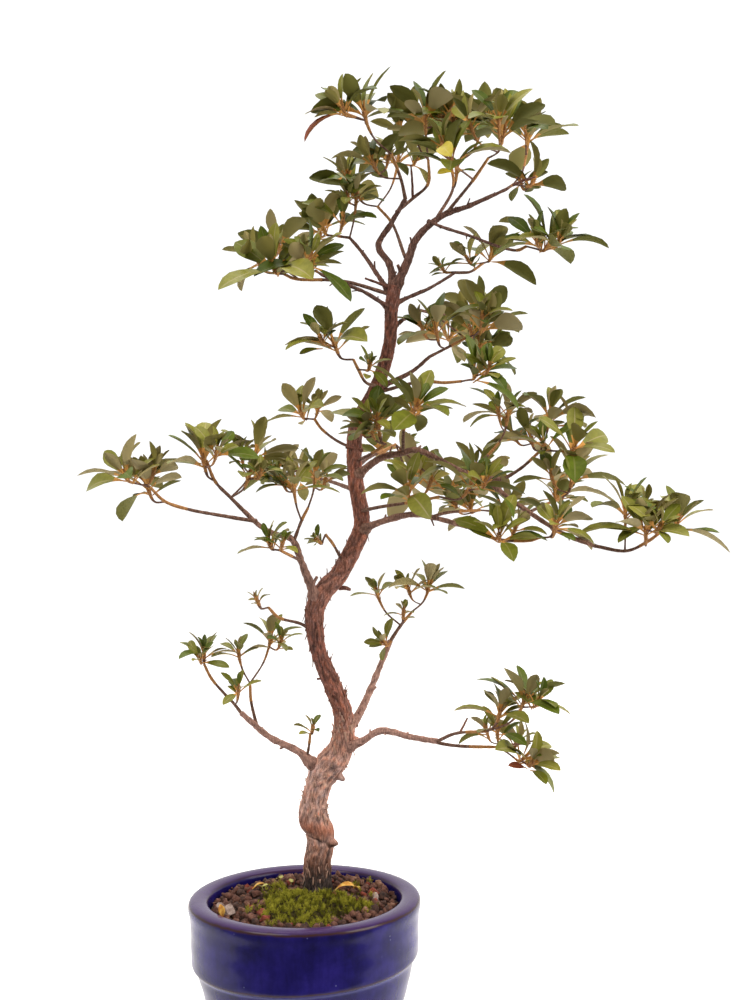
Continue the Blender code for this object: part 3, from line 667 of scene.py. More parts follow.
def trunk_skin(spot, radius, centre):
    z = centre.z
    old = min(1.0, max(0.35, (330 - z) / 140))
    scale, ridge, fibre = strips(spot, 2.6 if z < 215 else 2.0)
    fine = noise.noise(spot * 1.9)
    swell = 0.8 * fibres(spot, 0.2, 0.09) * min(1.0, radius / 8)
    rise = old * (0.5 * scale + 0.75 * ridge - 0.45) + 0.3 * fibre + 0.2 * fine + swell
    # A wound healed over long ago runs slantwise round the foot: smoother, swollen and redder.
    slant = z + 0.39 * (spot.x - spot.y) + 1.6 * noise.noise(spot * 0.25)
    healed, crease = line(slant - HEALED_AT, 4.6), line(slant - CREASE_AT, 1.1)
    rise = rise * (1 - 0.6 * healed) + 1.1 * healed - 0.8 * crease
    base = blend(tone_at(TRUNK_TONES, z + 7 * fibre), srgb(160, 94, 66), 0.85 * healed)
    patch = fibres(spot, 2.6, 1.1)
    # Raised strips are painted lighter and the low cracks between them darker: partly the bark's own colour,
    # partly painted light and shade.
    light = (0.62 + 0.6 * ridge) * (1 + 0.36 * scale + 0.34 * fibre + 0.3 * fine + 0.4 * patch)
    light += (0.95 + 0.2 * patch - light) * 0.7 * healed
    # The crease under the healed roll is darkened: painted shade in the groove under it.
    light *= 1 - 0.6 * crease
    ruddy = 0.16 * noise.noise(spot * 0.3 + Vector((7, 7, 7))) + 0.1 * scale
    return rise, (base[0] * light * (1 + ruddy), base[1] * light, base[2] * light * (1 - ruddy), 1.0)


# Healed pruning wounds swell out of the trunk, and snapped snags stand on it and on the boughs.
# Each is its root, its end and its radius.
KNOTS = [
    ((14, 7, 132), (19.5, 4, 130), 4.0), ((5, 7, 149), (-1, 4, 147), 3.8), ((17, 5, 177), (25, 3, 173), 3.6),
    ((28, 2, 194), (34, 7, 198), 3.2),
]  # fmt: skip
SNAGS = [
    ((19, -5, 238), (10, -8, 239), 1.1), ((25, -3, 297), (32, -7, 296), 1.6),
    ((66, 0, 487), (44, -2, 497), 1.1), ((41, 9, 386), (30, 5, 388), 1.3),
    ((100, -29, 207), (105, -27, 216), 0.8), ((125, -14, 195), (146, -14, 197), 0.9),
    ((139, -9, 554), (154, -11, 559), 0.9), ((76, 14.5, 552), (75, 14, 574), 0.9),
]  # fmt: skip
TRUNK_SIDES, TRUNK_STEP, KNOT_REACH = 120, 0.62, 14
trunk_rows = smooth([row[:3] for row in TRUNK], [row[3] for row in TRUNK], TRUNK_STEP)
trunk = limb("trunk", trunk_rows, TRUNK_SIDES, trunk_skin)
for number, vertex in enumerate(trunk.data.vertices[: len(trunk_rows) * TRUNK_SIDES]):
    spot = vertex.co / MM
    out = (spot - trunk_rows[number // TRUNK_SIDES][0]).normalized()
    for root, end, radius in KNOTS:
        root, end = Vector(root), Vector(end)
        if (spot - root).length < KNOT_REACH:
            arm = end - root
            for _ in range(5):  # out in small steps, until it lies on the knot
                t = min(1.0, max(0.0, (spot - root).dot(arm) / arm.length_squared))
                reach = radius * (1 - 0.3 * t) + 0.5 * noise.noise(spot * 0.6)
                spot += out * max(0.0, reach - (spot - root - arm * t).length) * 0.7
    vertex.co = spot * MM
    if number < TRUNK_SIDES:
        vertex.co.z = (GROUND - 0.2) * MM

# The bark is painted by its own plates, with fine fibres, pale edges and grey dust on it.
bark, tree, shader = finish("flaky bark", srgb(150, 112, 96), 0.86)
tint = node(tree, "Attribute", attribute_name="Bark").outputs["Color"]
strands = clouds(tree, place(tree, (1.0, 1.0, 0.22)), 0.9, 5.0, 0.65)
tint = mix(tree, 0.8, tint, ramp(tree, strands, (0.32, 0.2), (0.68, 0.8)), "OVERLAY")
tint = mix(tree, ramp(tree, strands, (0.52, 0.0), (0.72, 0.2)), tint, srgb(214, 194, 188))
dust = ramp(tree, clouds(tree, place(tree), 0.5, 3.0, 0.7), (0.62, 0.0), (0.78, 0.4))
tree.links.new(mix(tree, dust, tint, srgb(206, 184, 172)), shader.inputs["Base Color"])
bump(tree, shader, strands, 0.45, 1.0)
trunk.data.materials.append(bark)
settle(trunk, "trunk bark", "bark", "trunk")


def snag_skin(spot, radius, centre):
    fibre = fibres(spot, 1.6, 0.3)
    return 0.22 * fibre, (*[value * (0.85 + 0.5 * fibre) for value in tone_at(TRUNK_TONES, centre.z)], 1.0)


def gathered(name, pieces, look):
    """Joins like pieces into one object with one finish."""
    bpy.ops.object.select_all(action="DESELECT")
    for piece in pieces:
        piece.select_set(True)
    bpy.context.view_layer.objects.active = pieces[0]
    bpy.ops.object.join()
    made = bpy.context.object
    made.data.materials.clear()
    made.data.materials.append(look)
    made.name = name
    return made


snags = []
for number, (root, end, radius) in enumerate(SNAGS):
    root, end = Vector(root), Vector(end)
    middle = root.lerp(end, 0.5) + Vector((0.3, 0, 0.6))
    rows = smooth([root, middle, end], [radius, radius * 0.86, radius * 0.6], 0.7)
    snags.append(limb(f"snag {number}", rows, 20, snag_skin, 31.0 * number))
settle(gathered("snags", snags, bark), "snags", "bark")

# Curled flakes stand off the old bark, each held along one end, and coarser ones at the fork.
FLAKES = 420
dice = random.Random("flakes")
flakes = []
flake_ends = [(0, 2, 1), (0, 3, 2), (12, 13, 14), (12, 14, 15)]
sheets = [(4 * k + s, 4 * k + (s + 1) % 4) for k in range(3) for s in range(4)]
flake_faces = np.array(flake_ends + [face for a, b in sheets for face in ((a, b, b + 4), (a, b + 4, a + 4))])
for _ in range(FLAKES):
    centre, radius = trunk_rows[int(len(trunk_rows) * dice.uniform(0.02, 0.62))]
    angle = dice.uniform(0, 2 * math.pi)
    out = Vector((math.cos(angle), math.sin(angle), dice.uniform(-0.1, 0.1))).normalized()
    across = Vector((0, 0, 1)).cross(out).normalized()
    up = Vector((dice.gauss(0, 0.12), dice.gauss(0, 0.12), dice.choice((1, 1, -1)))).normalized()
    coarse = 1.5 if 150 < centre.z < 235 else 1.0
    length, width = dice.uniform(2.0, 6.5), dice.uniform(0.6, 1.7) * coarse
    lift = dice.uniform(0.3, 1.1) * coarse
    points = []
    for share in (0.0, 0.35, 0.7, 1.0):
        middle = centre + out * (radius + 0.1 + lift * share**2) + up * length * share
        half = width / 2 * (1 - 0.55 * share) * dice.uniform(0.7, 1.1)
        points += [middle - across * half - out * 0.3, middle + across * half - out * 0.3]
        points += [middle + across * half * 0.8 + out * 0.12, middle - across * half * 0.8 + out * 0.12]
    flakes.append((np.array(points), flake_faces, np.full(len(flake_faces), centre.z > 215)))
tan, _, _ = finish("tan bark flake", srgb(176, 140, 122), 0.9)
ruddy, _, _ = finish("red-brown bark flake", srgb(126, 84, 68), 0.9)
settle(joined("bark flakes", flakes, tan, ruddy), "bark flakes", "bark")

# ----------------------------------------------------------------- the boughs
# Thin side limbs and the two leaders of the crown. Each swells where it leaves the limb that
# bears it, and carries leaf scars, small knuckles and the stubs of twigs that died.
BOUGHS = {  # the limb that bears it, its radius at either end, and its bends
    "lower_left": ("trunk", 2.6, 1.7, [(13, 6, 179), (5, 4, 183), (-4, 8, 190), (-23, 16, 198),
        (-42, 22, 213)]),
    "lower_right": ("trunk", 2.5, 1.7, [(23, 4, 190), (38, -6, 198), (51, -12, 206), (69, -18, 203),
        (86, -24, 201)]),
    "centre_right": ("trunk", 2.8, 1.7, [(25, 3, 199), (34, 12, 209), (41, 18, 221), (51, 26, 243),
        (58, 30, 259)]),
    "left_shelf": ("trunk", 2.7, 1.3, [(11, -9, 288), (2, -16, 313), (-4, -22, 329), (-15, -28, 333),
        (-24, -34, 339), (-33, -38, 348)]),
    "right_lower": ("trunk", 2.3, 1.4, [(39, 3, 333), (51, -8, 339), (72, -18, 344), (89, -26, 341),
        (106, -32, 336)]),
    "right_shelf": ("trunk", 2.3, 1.4, [(36, 9, 369), (52, -6, 380), (65, -10, 383), (77, -10, 385),
        (94, -4, 377), (114, 2, 368), (133, 6, 366)]),
    "right_outer": ("right_shelf", 1.7, 1.3, [(121, 4, 366), (137, -8, 352), (165, -22, 332),
        (186, -32, 323)]),
    "mid_right": ("trunk", 1.6, 1.1, [(52, 9, 427), (73, 12, 437), (86, 20, 448)]),
    "back_upper": ("trunk", 1.6, 1.1, [(59, 3, 461), (68, 34, 474), (82, 62, 485)]),
    "upper_left_low": ("trunk", 1.4, 1, [(61, 1, 477), (43, -10, 487), (27, -18, 492), (17, -22, 496)]),
    "upper_right_low": ("trunk", 1.4, 0.9, [(61, 1, 479), (69, 5, 484), (87, 14, 493), (104, 22, 504)]),
    "upper_left": ("trunk", 1.7, 1, [(61, 1, 486), (52, 8, 501), (43, 16, 516), (34, 22, 528)]),
    "leader_right": ("trunk", 3.0, 1.0, [(63, 0, 489), (71, -3, 506), (78, -6, 522), (94, -10, 535),
        (112, -12, 541), (135, -12, 551)]),
    "leader_left": ("trunk", 2.5, 1.4, [(63, 0, 489), (60, 6, 507), (53, 9, 520), (61, 10, 534),
        (71, 8, 550)]),
    "upper_right": ("leader_right", 1.1, 0.8, [(85, -8, 532), (95, -16, 526), (108, -24, 520),
        (128, -34, 510)]),
}  # fmt: skip
BOUGH_TONES = [
    (180, 150, 112, 98), (200, 168, 128, 114), (230, 174, 136, 122), (280, 150, 112, 100),
    (330, 140, 104, 88), (390, 126, 90, 74), (470, 104, 70, 58), (560, 92, 60, 48),
]  # fmt: skip


def bough_skin(spot, radius, centre):
    scale, ridge, fibre = strips(spot, 1.5)
    ring = noise.noise(Vector((0.2, 0.4, spot.z * 0.33)))
    fine = noise.noise(spot * 2.6)
    rise = radius * (0.10 * scale + 0.12 * ridge - 0.06 + 0.10 * fibre + 0.16 * ring + 0.05 * fine)
    # Raised strips are painted lighter and the low cracks darker: partly the bark's own colour, partly
    # painted light and shade.
    light = (0.72 + 0.4 * ridge) * (1 + 0.25 * scale + 0.32 * fibre + 0.18 * fine)
    return rise, (*[value * light for value in tone_at(BOUGH_TONES, centre.z + 6 * ring)], 1.0)


def collar(rows, parent):
    """The rows with a swollen root: it spreads where the limb comes out of its parent."""
    inside = min(parent, key=lambda row: (row[0] - rows[0][0]).length)[1]
    found, along = [], 0.0
    for k, (centre, radius) in enumerate(rows):
        along += (centre - rows[max(k - 1, 0)][0]).length
        spread = 0.75 * math.exp(-max(0.0, along - inside) / (0.55 * inside))
        found.append((centre, max(radius, min(radius * (1 + spread), 0.82 * inside))))
    return found


BOUGH_SIDES, STUB_SIDES = 22, 10
BARE_ROOT, BARE_TIP = 14, 8  # rows without stubs at either end
rows_of = {"trunk": trunk_rows}
limbs = [trunk]
dice = random.Random("boughs")
for number, (name, (parent, first, last, points)) in enumerate(BOUGHS.items()):
    rows_of[name] = smooth(points, taper(points, first, last), 0.8)
    rows = collar(rows_of[name], rows_of[parent])
    pieces = [limb(name, rows, BOUGH_SIDES, bough_skin, 57.0 * number)]
    at = BARE_ROOT
    while at < len(rows) - BARE_TIP:
        centre, radius = rows[at]
        out = Vector((dice.gauss(0, 1), dice.gauss(0, 1), dice.gauss(0.3, 1))).normalized()
        ahead = (rows[at + 2][0] - centre).normalized()
        heading = (out - ahead * out.dot(ahead) + 0.6 * ahead).normalized()
        tip = centre + heading * (radius + dice.choice((1.0, 1.5, 2.2, 4.5)))
        thick = radius * dice.uniform(0.28, 0.45)
        stub = smooth([centre, centre.lerp(tip, 0.6), tip], [thick * 1.5, thick, thick * 0.75], 0.7)
        pieces.append(limb("stub", stub, STUB_SIDES, bough_skin, 3.0 * at))
        at += int(dice.uniform(10, 26))
    limbs.append(gathered(name, pieces, bark))
    settle(limbs[-1], name + " bough", "bark", "bough_" + name)


def search_tree(made):
    """The surface of an object, made ready to be searched for what crosses it."""
    spots = [vertex.co / MM for vertex in made.data.vertices]
    return BVHTree.FromPolygons(spots, [tuple(face.vertices) for face in made.data.polygons])


limb_trees = [search_tree(made) for made in limbs]

# ---------------------------------------------------------------- the foliage
# Each mass grows on from its limb: a stem, twigs that turn up from it, and at each twig's end a
# whorl of leathery leaves that open wide below and stand upright within. Young wood and the
# leaves' feet are covered with flat golden-brown hairs.

# Each mass is its stem's first radius and its stem's bends, then its shoots: where the whorl of
# leaves sits, the length of its longest leaf, and the bearing of its lowest leaf in degrees.
MASSES = {
    "lower_left_outer": (1.2, [(-42, 22, 213), (-47, 24, 219), (-54, 26, 226), (-62, 28, 235),
        (-67, 28, 245)],
        [(-67, 28, 258, 24, 195), (-42, 8, 235, 18, 60)]),
    "lower_left_inner": (1.3, [(-31, 19, 203), (-36, 30, 219), (-37, 34, 231)],
        [(-45, 36, 257, 20, 180), (-23, 42, 267, 26, 255)]),
    "fork_sprig": (1, [(2, 6, 185), (4, 0, 195), (5, -2, 203)], [(7, -4, 211, 14, 105)]),
    "lower_right_upper": (1.2, [(86, -24, 201), (98, -30, 207), (116, -36, 209)],
        [(125, -38, 228, 26, 120), (140, -42, 237, 32, 120)]),
    "lower_right_lower": (1.3, [(78, -22, 202), (91, -18, 198), (105, -16, 196), (126, -14, 195)],
        [(124, -22, 213, 22, 270), (139, -4, 201, 20, 150), (143, -14, 195, 32, 90)]),
    "centre_right": (1.4, [(58, 30, 259), (65, 32, 269), (73, 35, 278)],
        [(49, 38, 296, 20, 225), (85, 40, 301, 26, 165), (67, 22, 283, 12, 120), (53, 20, 263, 18, 75)]),
    "trunk_left": (1.2, [(9, -9, 269), (0, -11, 275), (-13, -14, 279), (-20, -16, 286)],
        [(-28, -17, 295, 10, 285)]),
    "left_sprig": (1, [(2, -17, 315), (-2, -30, 318), (-10, -41, 323)], [(-17, -46, 333, 22, 15)]),
    "left_outer": (1.3, [(-25, -35, 341), (-50, -50, 346), (-64, -54, 349), (-78, -58, 354), (-87, -60, 363)],
        [(-101, -66, 377, 32, 105), (-91, -48, 371, 32, 90)]),
    "left_middle": (1.3, [(-33, -38, 348), (-40, -44, 356), (-49, -48, 366), (-54, -50, 379)],
        [(-56, -52, 388, 36, 345), (-26, -26, 390, 30, 45), (-28, -42, 376, 22, 225)]),
    "left_inner": (1.2, [(-3, -22, 328), (2, -20, 341), (6, -16, 349)],
        [(11, -12, 377, 26, 270), (-2, -34, 370, 28, 315)]),
    "trunk_sprig": (1, [(28, -2, 312), (22, -14, 325), (17, -18, 332)], [(11, -22, 332, 12, 90)]),
    "right_low": (1.2, [(106, -32, 336), (114, -36, 332), (126, -38, 328), (142, -38, 327), (151, -38, 329)],
        [(162, -36, 345, 30, 345), (124, -50, 337, 30, 315)]),
    "right_mid": (1.2, [(83, -23, 342), (96, -10, 345), (117, 2, 346)],
        [(136, 6, 354, 28, 120), (112, 24, 354, 30, 180)]),
    "right_inner": (1.3, [(38, 5, 346), (52, -14, 349), (73, -24, 352), (89, -30, 355)],
        [(69, -30, 367, 34, 240), (110, -34, 372, 36, 30)]),
    "right_upper": (1.3, [(133, 6, 366), (146, 12, 374), (159, 20, 385)],
        [(166, 26, 417, 32, 270), (178, -6, 394, 36, 225), (154, 34, 401, 28, 15)]),
    "right_rear": (1.2, [(108, 0, 371), (121, 10, 380), (131, 18, 390)],
        [(138, 22, 418, 32, 90), (118, 50, 381, 28, 345)]),
    "right_far": (1.1, [(148, -13, 345), (159, 2, 349), (170, 8, 353)],
        [(179, 10, 376, 36, 285), (170, 34, 361, 26, 300)]),
    "right_outer": (1.2, [(186, -32, 323), (203, -38, 320), (215, -42, 325), (224, -46, 332)],
        [(204, -36, 353, 32, 180), (212, -58, 341, 34, 120), (234, -48, 345, 34, 150)]),
    "centre_front": (1.2, [(67, -10, 383), (67, -28, 395), (69, -40, 408)], [(75, -46, 418, 36, 210)]),
    "centre_low": (1.1, [(37, 10, 379), (48, -8, 384), (56, -14, 389)],
        [(51, -20, 409, 36, 60), (46, -26, 405, 24, 255)]),
    "back_shelf": (1.7, [(37, 9, 375), (44, 42, 382), (57, 74, 389), (64, 84, 393)],
        [(53, 112, 396, 28, 210), (77, 98, 376, 34, 165), (103, 80, 369, 34, 150)]),
    "back_left": (1.6, [(38, 8, 359), (20, 40, 366), (2, 70, 371), (-5, 78, 375)],
        [(-5, 100, 379, 30, 135), (-24, 84, 381, 26, 165)]),
    "mid_left_low": (1.1, [(36, 11, 387), (24, 18, 393), (14, 24, 401), (9, 28, 408)],
        [(-1, 30, 419, 30, 255)]),
    "mid_left": (1.2, [(53, 9, 428), (44, -6, 429), (39, -12, 437), (36, -16, 443)],
        [(23, -20, 462, 36, 255), (47, -26, 443, 18, 270)]),
    "mid_right_upper": (1.1, [(86, 20, 448), (97, 26, 454), (110, 32, 461)],
        [(125, 36, 478, 38, 120), (90, 16, 474, 36, 45)]),
    "mid_right_lower": (1.2, [(52, 9, 424), (78, 3, 430), (94, 0, 429), (105, -8, 429)],
        [(115, -12, 441, 34, 300)]),
    "back_upper": (1.1, [(82, 62, 485), (92, 74, 484)],
        [(125, 100, 496, 34, 198), (105, 98, 477, 32, 225), (128, 68, 467, 34, 330)]),
    "upper_left_outer": (1.4, [(62, 0, 486), (30, -3, 495), (2, -12, 495), (-7, -20, 497)],
        [(-13, -32, 508, 42, 255), (-13, 12, 529, 32, 255)]),
    "upper_left_low": (1, [(17, -22, 496), (13, -26, 498)], [(9, -30, 508, 34, 15)]),
    "upper_left": (1, [(34, 22, 528), (26, 26, 530)], [(16, 28, 543, 38, 90), (39, 10, 558, 22, 270)]),
    "upper_right": (1, [(128, -34, 510), (138, -38, 507), (144, -40, 509)], [(158, -42, 517, 38, 105)]),
    "upper_right_low": (1, [(104, 22, 504), (114, 26, 505), (123, 28, 511)],
        [(129, 30, 524, 34, 315), (95, 32, 513, 14, 300)]),
    "apex_rear": (1.2, [(70, -3, 510), (63, 26, 537), (53, 42, 553)],
        [(37, 46, 576, 36, 245), (68, 62, 597, 32, 165)]),
    "apex_centre": (1.3, [(65, 10, 542), (76, 15, 552), (86, 8, 560), (86, 2, 574)],
        [(84, -5, 609, 38, 330), (78, 26, 611, 32, 270)]),
    "apex_left": (1.3, [(71, 8, 550), (68, 2, 562), (62, -6, 576)],
        [(44, -14, 610, 38, 240), (49, 8, 581, 28, 30)]),
    "apex_middle": (1.2, [(90, -9, 533), (102, 8, 556), (102, 18, 575)],
        [(102, 26, 608, 38, 165), (104, -8, 569, 12, 150), (127, 58, 623, 38, 240)]),
    "apex_front": (1.2, [(96, -10, 536), (103, -18, 543), (113, -26, 554), (122, -32, 566)],
        [(132, -36, 591, 42, 75), (97, -52, 569, 36, 300)]),
    "apex_right": (1.0, [(135, -12, 551), (140, -8, 555)],
        [(154, -2, 564, 28, 135), (155, 34, 604, 36, 270)]),
}  # fmt: skip


def shoot(stem, target, length):
    """One twig's rows, lean and end: it leaves the stem where that is nearest below, and turns up."""
    target = target - Vector((0, 0, length * 0.18))
    below = target - Vector((0, 0, length * 0.45))
    root, thick = min(stem[len(stem) // 3 :], key=lambda row: (row[0] - below).length)
    lean = (target - root).normalized() * 0.7 + Vector((0, 0, 0.8))
    lean.normalize()
    hub = target - lean * max(length * 0.3, 7.5)
    bend = hub - lean * (hub - root).length * 0.4
    if hub.z < root.z:  # a hanging twig turns up only at its very end
        hub = target - lean * 5.5
        bend = root.lerp(hub, 0.7)
    thin = min(0.8, thick)
    middle = root * 0.25 + bend * 0.5 + hub * 0.25
    top = target - lean * length * 0.05
    return [(root, thin), (middle, thin), (hub, 1.25), (top, 1.8)], lean, target


def ways_out(axis):
    """A rule for the directions square to an axis, by their angle round it."""
    side = axis.orthogonal().normalized()
    other = axis.cross(side)
    return lambda angle: side * math.cos(angle) + other * math.sin(angle)


def whorl(name, target, lean, length, bearing, count):
    """The leaves of one whorl, by the golden angle: the outer ones lie wide, the inner ones stand."""
    dice = random.Random(name)
    way_out = ways_out(lean)
    for k in range(count):
        inner = k / (count - 1)
        out = way_out(math.radians(bearing) + GOLDEN_ANGLE * k)
        tilt = math.radians(90 - 64 * inner + dice.uniform(-12, 12))
        along = (lean * math.cos(tilt) + out * math.sin(tilt)).normalized()
        face = (lean * math.sin(tilt) - out * math.cos(tilt)).normalized()
        roll = math.radians(dice.uniform(-28, 28))
        face = face * math.cos(roll) + along.cross(face) * math.sin(roll)
        size = length * (1.04 - 0.42 * inner) * dice.uniform(0.9, 1.08)
        dice.random()  # the plain solids draw each leaf's width here
        yield inner, target - lean * (length * 0.05 + 4.0 - 3.4 * inner) + out * 0.45, along, face, size


# A leaf is nine points round at each of its rows: five strips of upper side, the middle one its
# rib, and four of underside with a keel. Its finishes are upper side, underside, foot and rib.
LEAF_ROWS = np.array([0.05, 0.13, 0.21, 0.28, 0.40, 0.53, 0.67, 0.81, 0.93])
STATIONS = np.concatenate([[0.0], LEAF_ROWS, [1.0]])
FOOT_ROWS = 3  # the hairy stretch of the foot
ACROSS = np.array([-1, -0.5, -0.07, 0.07, 0.5, 1, 0.5, 0, -0.5])
FACING = np.array([0, 1, 1, 1, 1, 0, -1, -1, -1])
ROUND = len(ACROSS)
leaf_faces, leaf_slots = [], []
for s, slot in enumerate([0, 0, 3, 0, 0, 1, 1, 1, 1]):
    t = (s + 1) % ROUND
    leaf_faces.append((0, 1 + s, 1 + t))
    last = 1 + ROUND * (len(LEAF_ROWS) - 1)
    for k in range(1, last, ROUND):
        leaf_faces += [(k + s, k + ROUND + s, k + ROUND + t), (k + s, k + ROUND + t, k + t)]
    leaf_faces.append((last + s, last + ROUND, last + t))
    leaf_slots += [2] * (1 + 2 * FOOT_ROWS) + [slot] * (2 * (len(LEAF_ROWS) - FOOT_ROWS) - 1)
leaf_faces, leaf_slots = np.array(leaf_faces), np.array(leaf_slots)


def leaf(dice, base, along, face, length, width, bow, fold, blunt):
    """One azalea leaf: a long wedge-shaped foot, widest past the middle, arched, and folded along its rib."""
    across = along.cross(face)
    along, face, across, base = (np.array(v) for v in (along, face, across, base))
    length = length * (1 + bow * bow / 24)
    angle = bow / 2 - bow * STATIONS
    run = length * (math.sin(bow / 2) - np.sin(angle)) / bow
    rise = length * (np.cos(angle) - math.cos(bow / 2)) / bow
    middle = base + np.outer(run, along) + np.outer(rise, face)
    up = np.outer(np.cos(angle), face) - np.outer(np.sin(angle), along)
    twist = dice.uniform(-0.35, 0.35) * STATIONS
    up = up * np.cos(twist)[:, None] + across * np.sin(twist)[:, None]
    side = np.cross(np.gradient(middle, axis=0), up)
    side /= np.linalg.norm(side, axis=1)[:, None]
    half = np.maximum(0.42, width / 2 * np.sin(math.pi * LEAF_ROWS**blunt) ** (1.08 - 0.28 * LEAF_ROWS))
    thick = 0.16 if length > 20 else 0.12
    points = [middle[0] - up[0] * thick]
    for k, share in enumerate(LEAF_ROWS):
        lift = fold * half[k] * np.abs(ACROSS) ** 1.4 + FACING * thick
        lift -= (FACING < 0) * (ACROSS == 0) * 0.42 * (1 - 0.8 * share)
        lift += 0.05 * half[k] * ACROSS * math.sin(9 * share + 40 * twist[-1])
        points.append(middle[k + 1] + np.outer(ACROSS * half[k], side[k + 1]) + np.outer(lift, up[k + 1]))
    points.append(middle[-1])
    return np.vstack(points), leaf_faces, leaf_slots


def stalk(rows, sides):
    """A closed thin stem along its rows, as points and triangles."""
    points = []
    for _, s, centre, radius, out in swept(rows, sides):
        knuckle = 1 + 0.16 * noise.noise(centre * 0.45) + 0.06 * noise.noise(centre * 1.3 + Vector((s, 0, 0)))
        points.append(centre + out * radius * knuckle)
    end, radius = rows[-1]
    points += [rows[0][0], end + (end - rows[-2][0]).normalized() * radius * 0.6]
    faces, last = [], (len(rows) - 1) * sides
    for s in range(sides):
        t = (s + 1) % sides
        faces += [(t, s, last + sides), (last + s, last + t, last + sides + 1)]
        for k in range(0, last, sides):
            faces += [(k + s, k + t, k + t + sides), (k + s, k + t + sides, k + s + sides)]
    return np.array(points), np.array(faces)


def spike(foot, tip, thick):
    """A slim three-sided hair or scale, from its foot to its point."""
    side = (tip - foot).orthogonal().normalized() * thick
    other = (tip - foot).normalized().cross(side)
    points = [foot + side, foot - side * 0.5 + other * 0.87, foot - side * 0.5 - other * 0.87, tip]
    return np.array(points), np.array([(0, 2, 1), (0, 1, 3), (1, 2, 3), (2, 0, 3)])


# Leaf tones, upper side then underside. Old leaves are deep green, young ones soft and yellow-green,
# and a few are turning yellow or have dried brown. The crown's top gets mostly deep green leaves and
# the lower masses mostly soft ones: painted shade above and painted light below.
LEAF_TONES = {
    "deep green leaves": (srgb(70, 84, 20), srgb(106, 106, 48)),
    "olive leaves": (srgb(100, 105, 28), srgb(136, 128, 68)),
    "mid green leaves": (srgb(86, 100, 25), srgb(120, 119, 58)),
    "soft green leaves": (srgb(124, 124, 50), srgb(164, 151, 106)),
    "young leaves": (srgb(134, 132, 52), srgb(166, 153, 100)),
    "yellowing leaves": (srgb(180, 164, 50), srgb(180, 164, 84)),
    "dry leaves": (srgb(128, 62, 34), srgb(142, 84, 56)),
}
SHADES = list(LEAF_TONES)[:5]
HEART_TONES = [1, 2, 2, 3, 4]  # the small leaves in a whorl's heart are mostly young
HAIRS_FEW, HAIRS_MANY = 24, 44  # on a small whorl's twig, and on a large one's
# Where leaves have turned: x and z of the place, how many of the nearest leaves, and their tone.
TURNING = [
    (99, 562, 2, "yellowing leaves"), (108, 553, 1, "yellowing leaves"), (15, 590, 1, "dry leaves"),
    (131, 182, 1, "dry leaves"), (96, 368, 1, "yellowing leaves"), (-93, 373, 1, "yellowing leaves"),
]  # fmt: skip
leaves = []  # each leaf's tone, its middle and its mesh
twigs, young_wood, hairs, buds = [], [], [], []
dice = random.Random("foliage")


def touches_limb(points):
    """True where a leaf's middle stretch runs into the trunk or a bough."""
    rows = points[1:-1].reshape(-1, ROUND, 3)
    rim = [Vector(p) for row in rows[1:] for p in (row[0], row[5])]
    strip = [(k, k + 1, k + 3, k + 2) for k in range(0, len(rim) - 2, 2)]
    sheet = BVHTree.FromPolygons(rim, strip)
    return any(sheet.overlap(found) for found in limb_trees)


def add_leaf(tone, base, along, face, length, width, bow, fold, blunt):
    part = leaf(dice, base, along, face, length, width, bow, fold, blunt)
    if not touches_limb(part[0]):
        leaves.append([tone, base + along * length * 0.6, part])


def tuft(name, hub, target, lean, length, bearing, count, tones):
    """A whorl on its twig: the plain solids' leaves in their true shape, and the finer ones round them."""
    for inner, base, along, face, size in whorl(name, target, lean, length, bearing, count):
        tone = dice.choices(SHADES, tones)[0]
        bow = dice.uniform(0.75, 1.3) * (1 - 0.45 * inner)
        width = size * (dice.uniform(0.34, 0.42) + 0.03 * (length > 33))
        fold, blunt = dice.uniform(0.1, 0.4), dice.uniform(1.5, 1.8)
        add_leaf(tone, base, along, face, size * (1.06 + 0.1 * inner), width, bow, fold, blunt)
    way_out = ways_out(lean)
    for heart in [1, 1] + [0] * (1 + (length > 22)):
        out = way_out(dice.uniform(0, 2 * math.pi))
        tilt = math.radians(dice.uniform(12, 34) if heart else dice.uniform(52, 86))
        along = lean * math.cos(tilt) + out * math.sin(tilt)
        face = lean * math.sin(tilt) - out * math.cos(tilt)
        size = length * (dice.uniform(0.42, 0.66) if heart else dice.uniform(0.6, 0.85))
        base = target - lean * (1.2 if heart else length * 0.05 + dice.uniform(3.5, 7.5)) + out * 0.5
        tone = dice.choices(SHADES, HEART_TONES if heart else tones)[0]
        width = size * (dice.uniform(0.26, 0.34) if heart else dice.uniform(0.32, 0.42))
        add_leaf(tone, base, along, face, size, width, dice.uniform(0.3, 0.9), 0.3 + 0.2 * heart, 1.65)
    for _ in range(HAIRS_MANY if length > 18 else HAIRS_FEW):
        out, share = way_out(dice.uniform(0, 2 * math.pi)), dice.random()
        foot = hub.lerp(target, share) + out * (0.75 + 0.45 * share)
        tip = foot + (lean * dice.uniform(0.8, 1.4) + out * dice.uniform(0.3, 0.9)) * dice.uniform(1.0, 2.4)
        hairs.append(spike(foot, tip, 0.2))
    bud = [(-1.5, 0.9), (0.0, 1.0), (1.8, 0.75), (3.4, 0.15)]
    buds.append(stalk([(target + lean * rise, radius) for rise, radius in bud], 7))
    for k in range(6):
        out = way_out(GOLDEN_ANGLE * k)
        foot = target + lean * (0.25 * k - 1.2) + out * 0.8
        buds.append(spike(foot, foot + lean * 2.6 + out * 0.35, 0.42))


def grow(rows, green, sides, swell=1.0):
    """Adds a stem: brown twig bark up to the row where it turns green, and golden young wood beyond."""
    twigs.append(stalk(rows[: green + 1], sides))
    young_wood.append(stalk([(centre, radius * swell) for centre, radius in rows[green:]], sides))


def finer(rows, share):
    return smooth([centre for centre, _ in rows], [radius * share for _, radius in rows], 1.2)


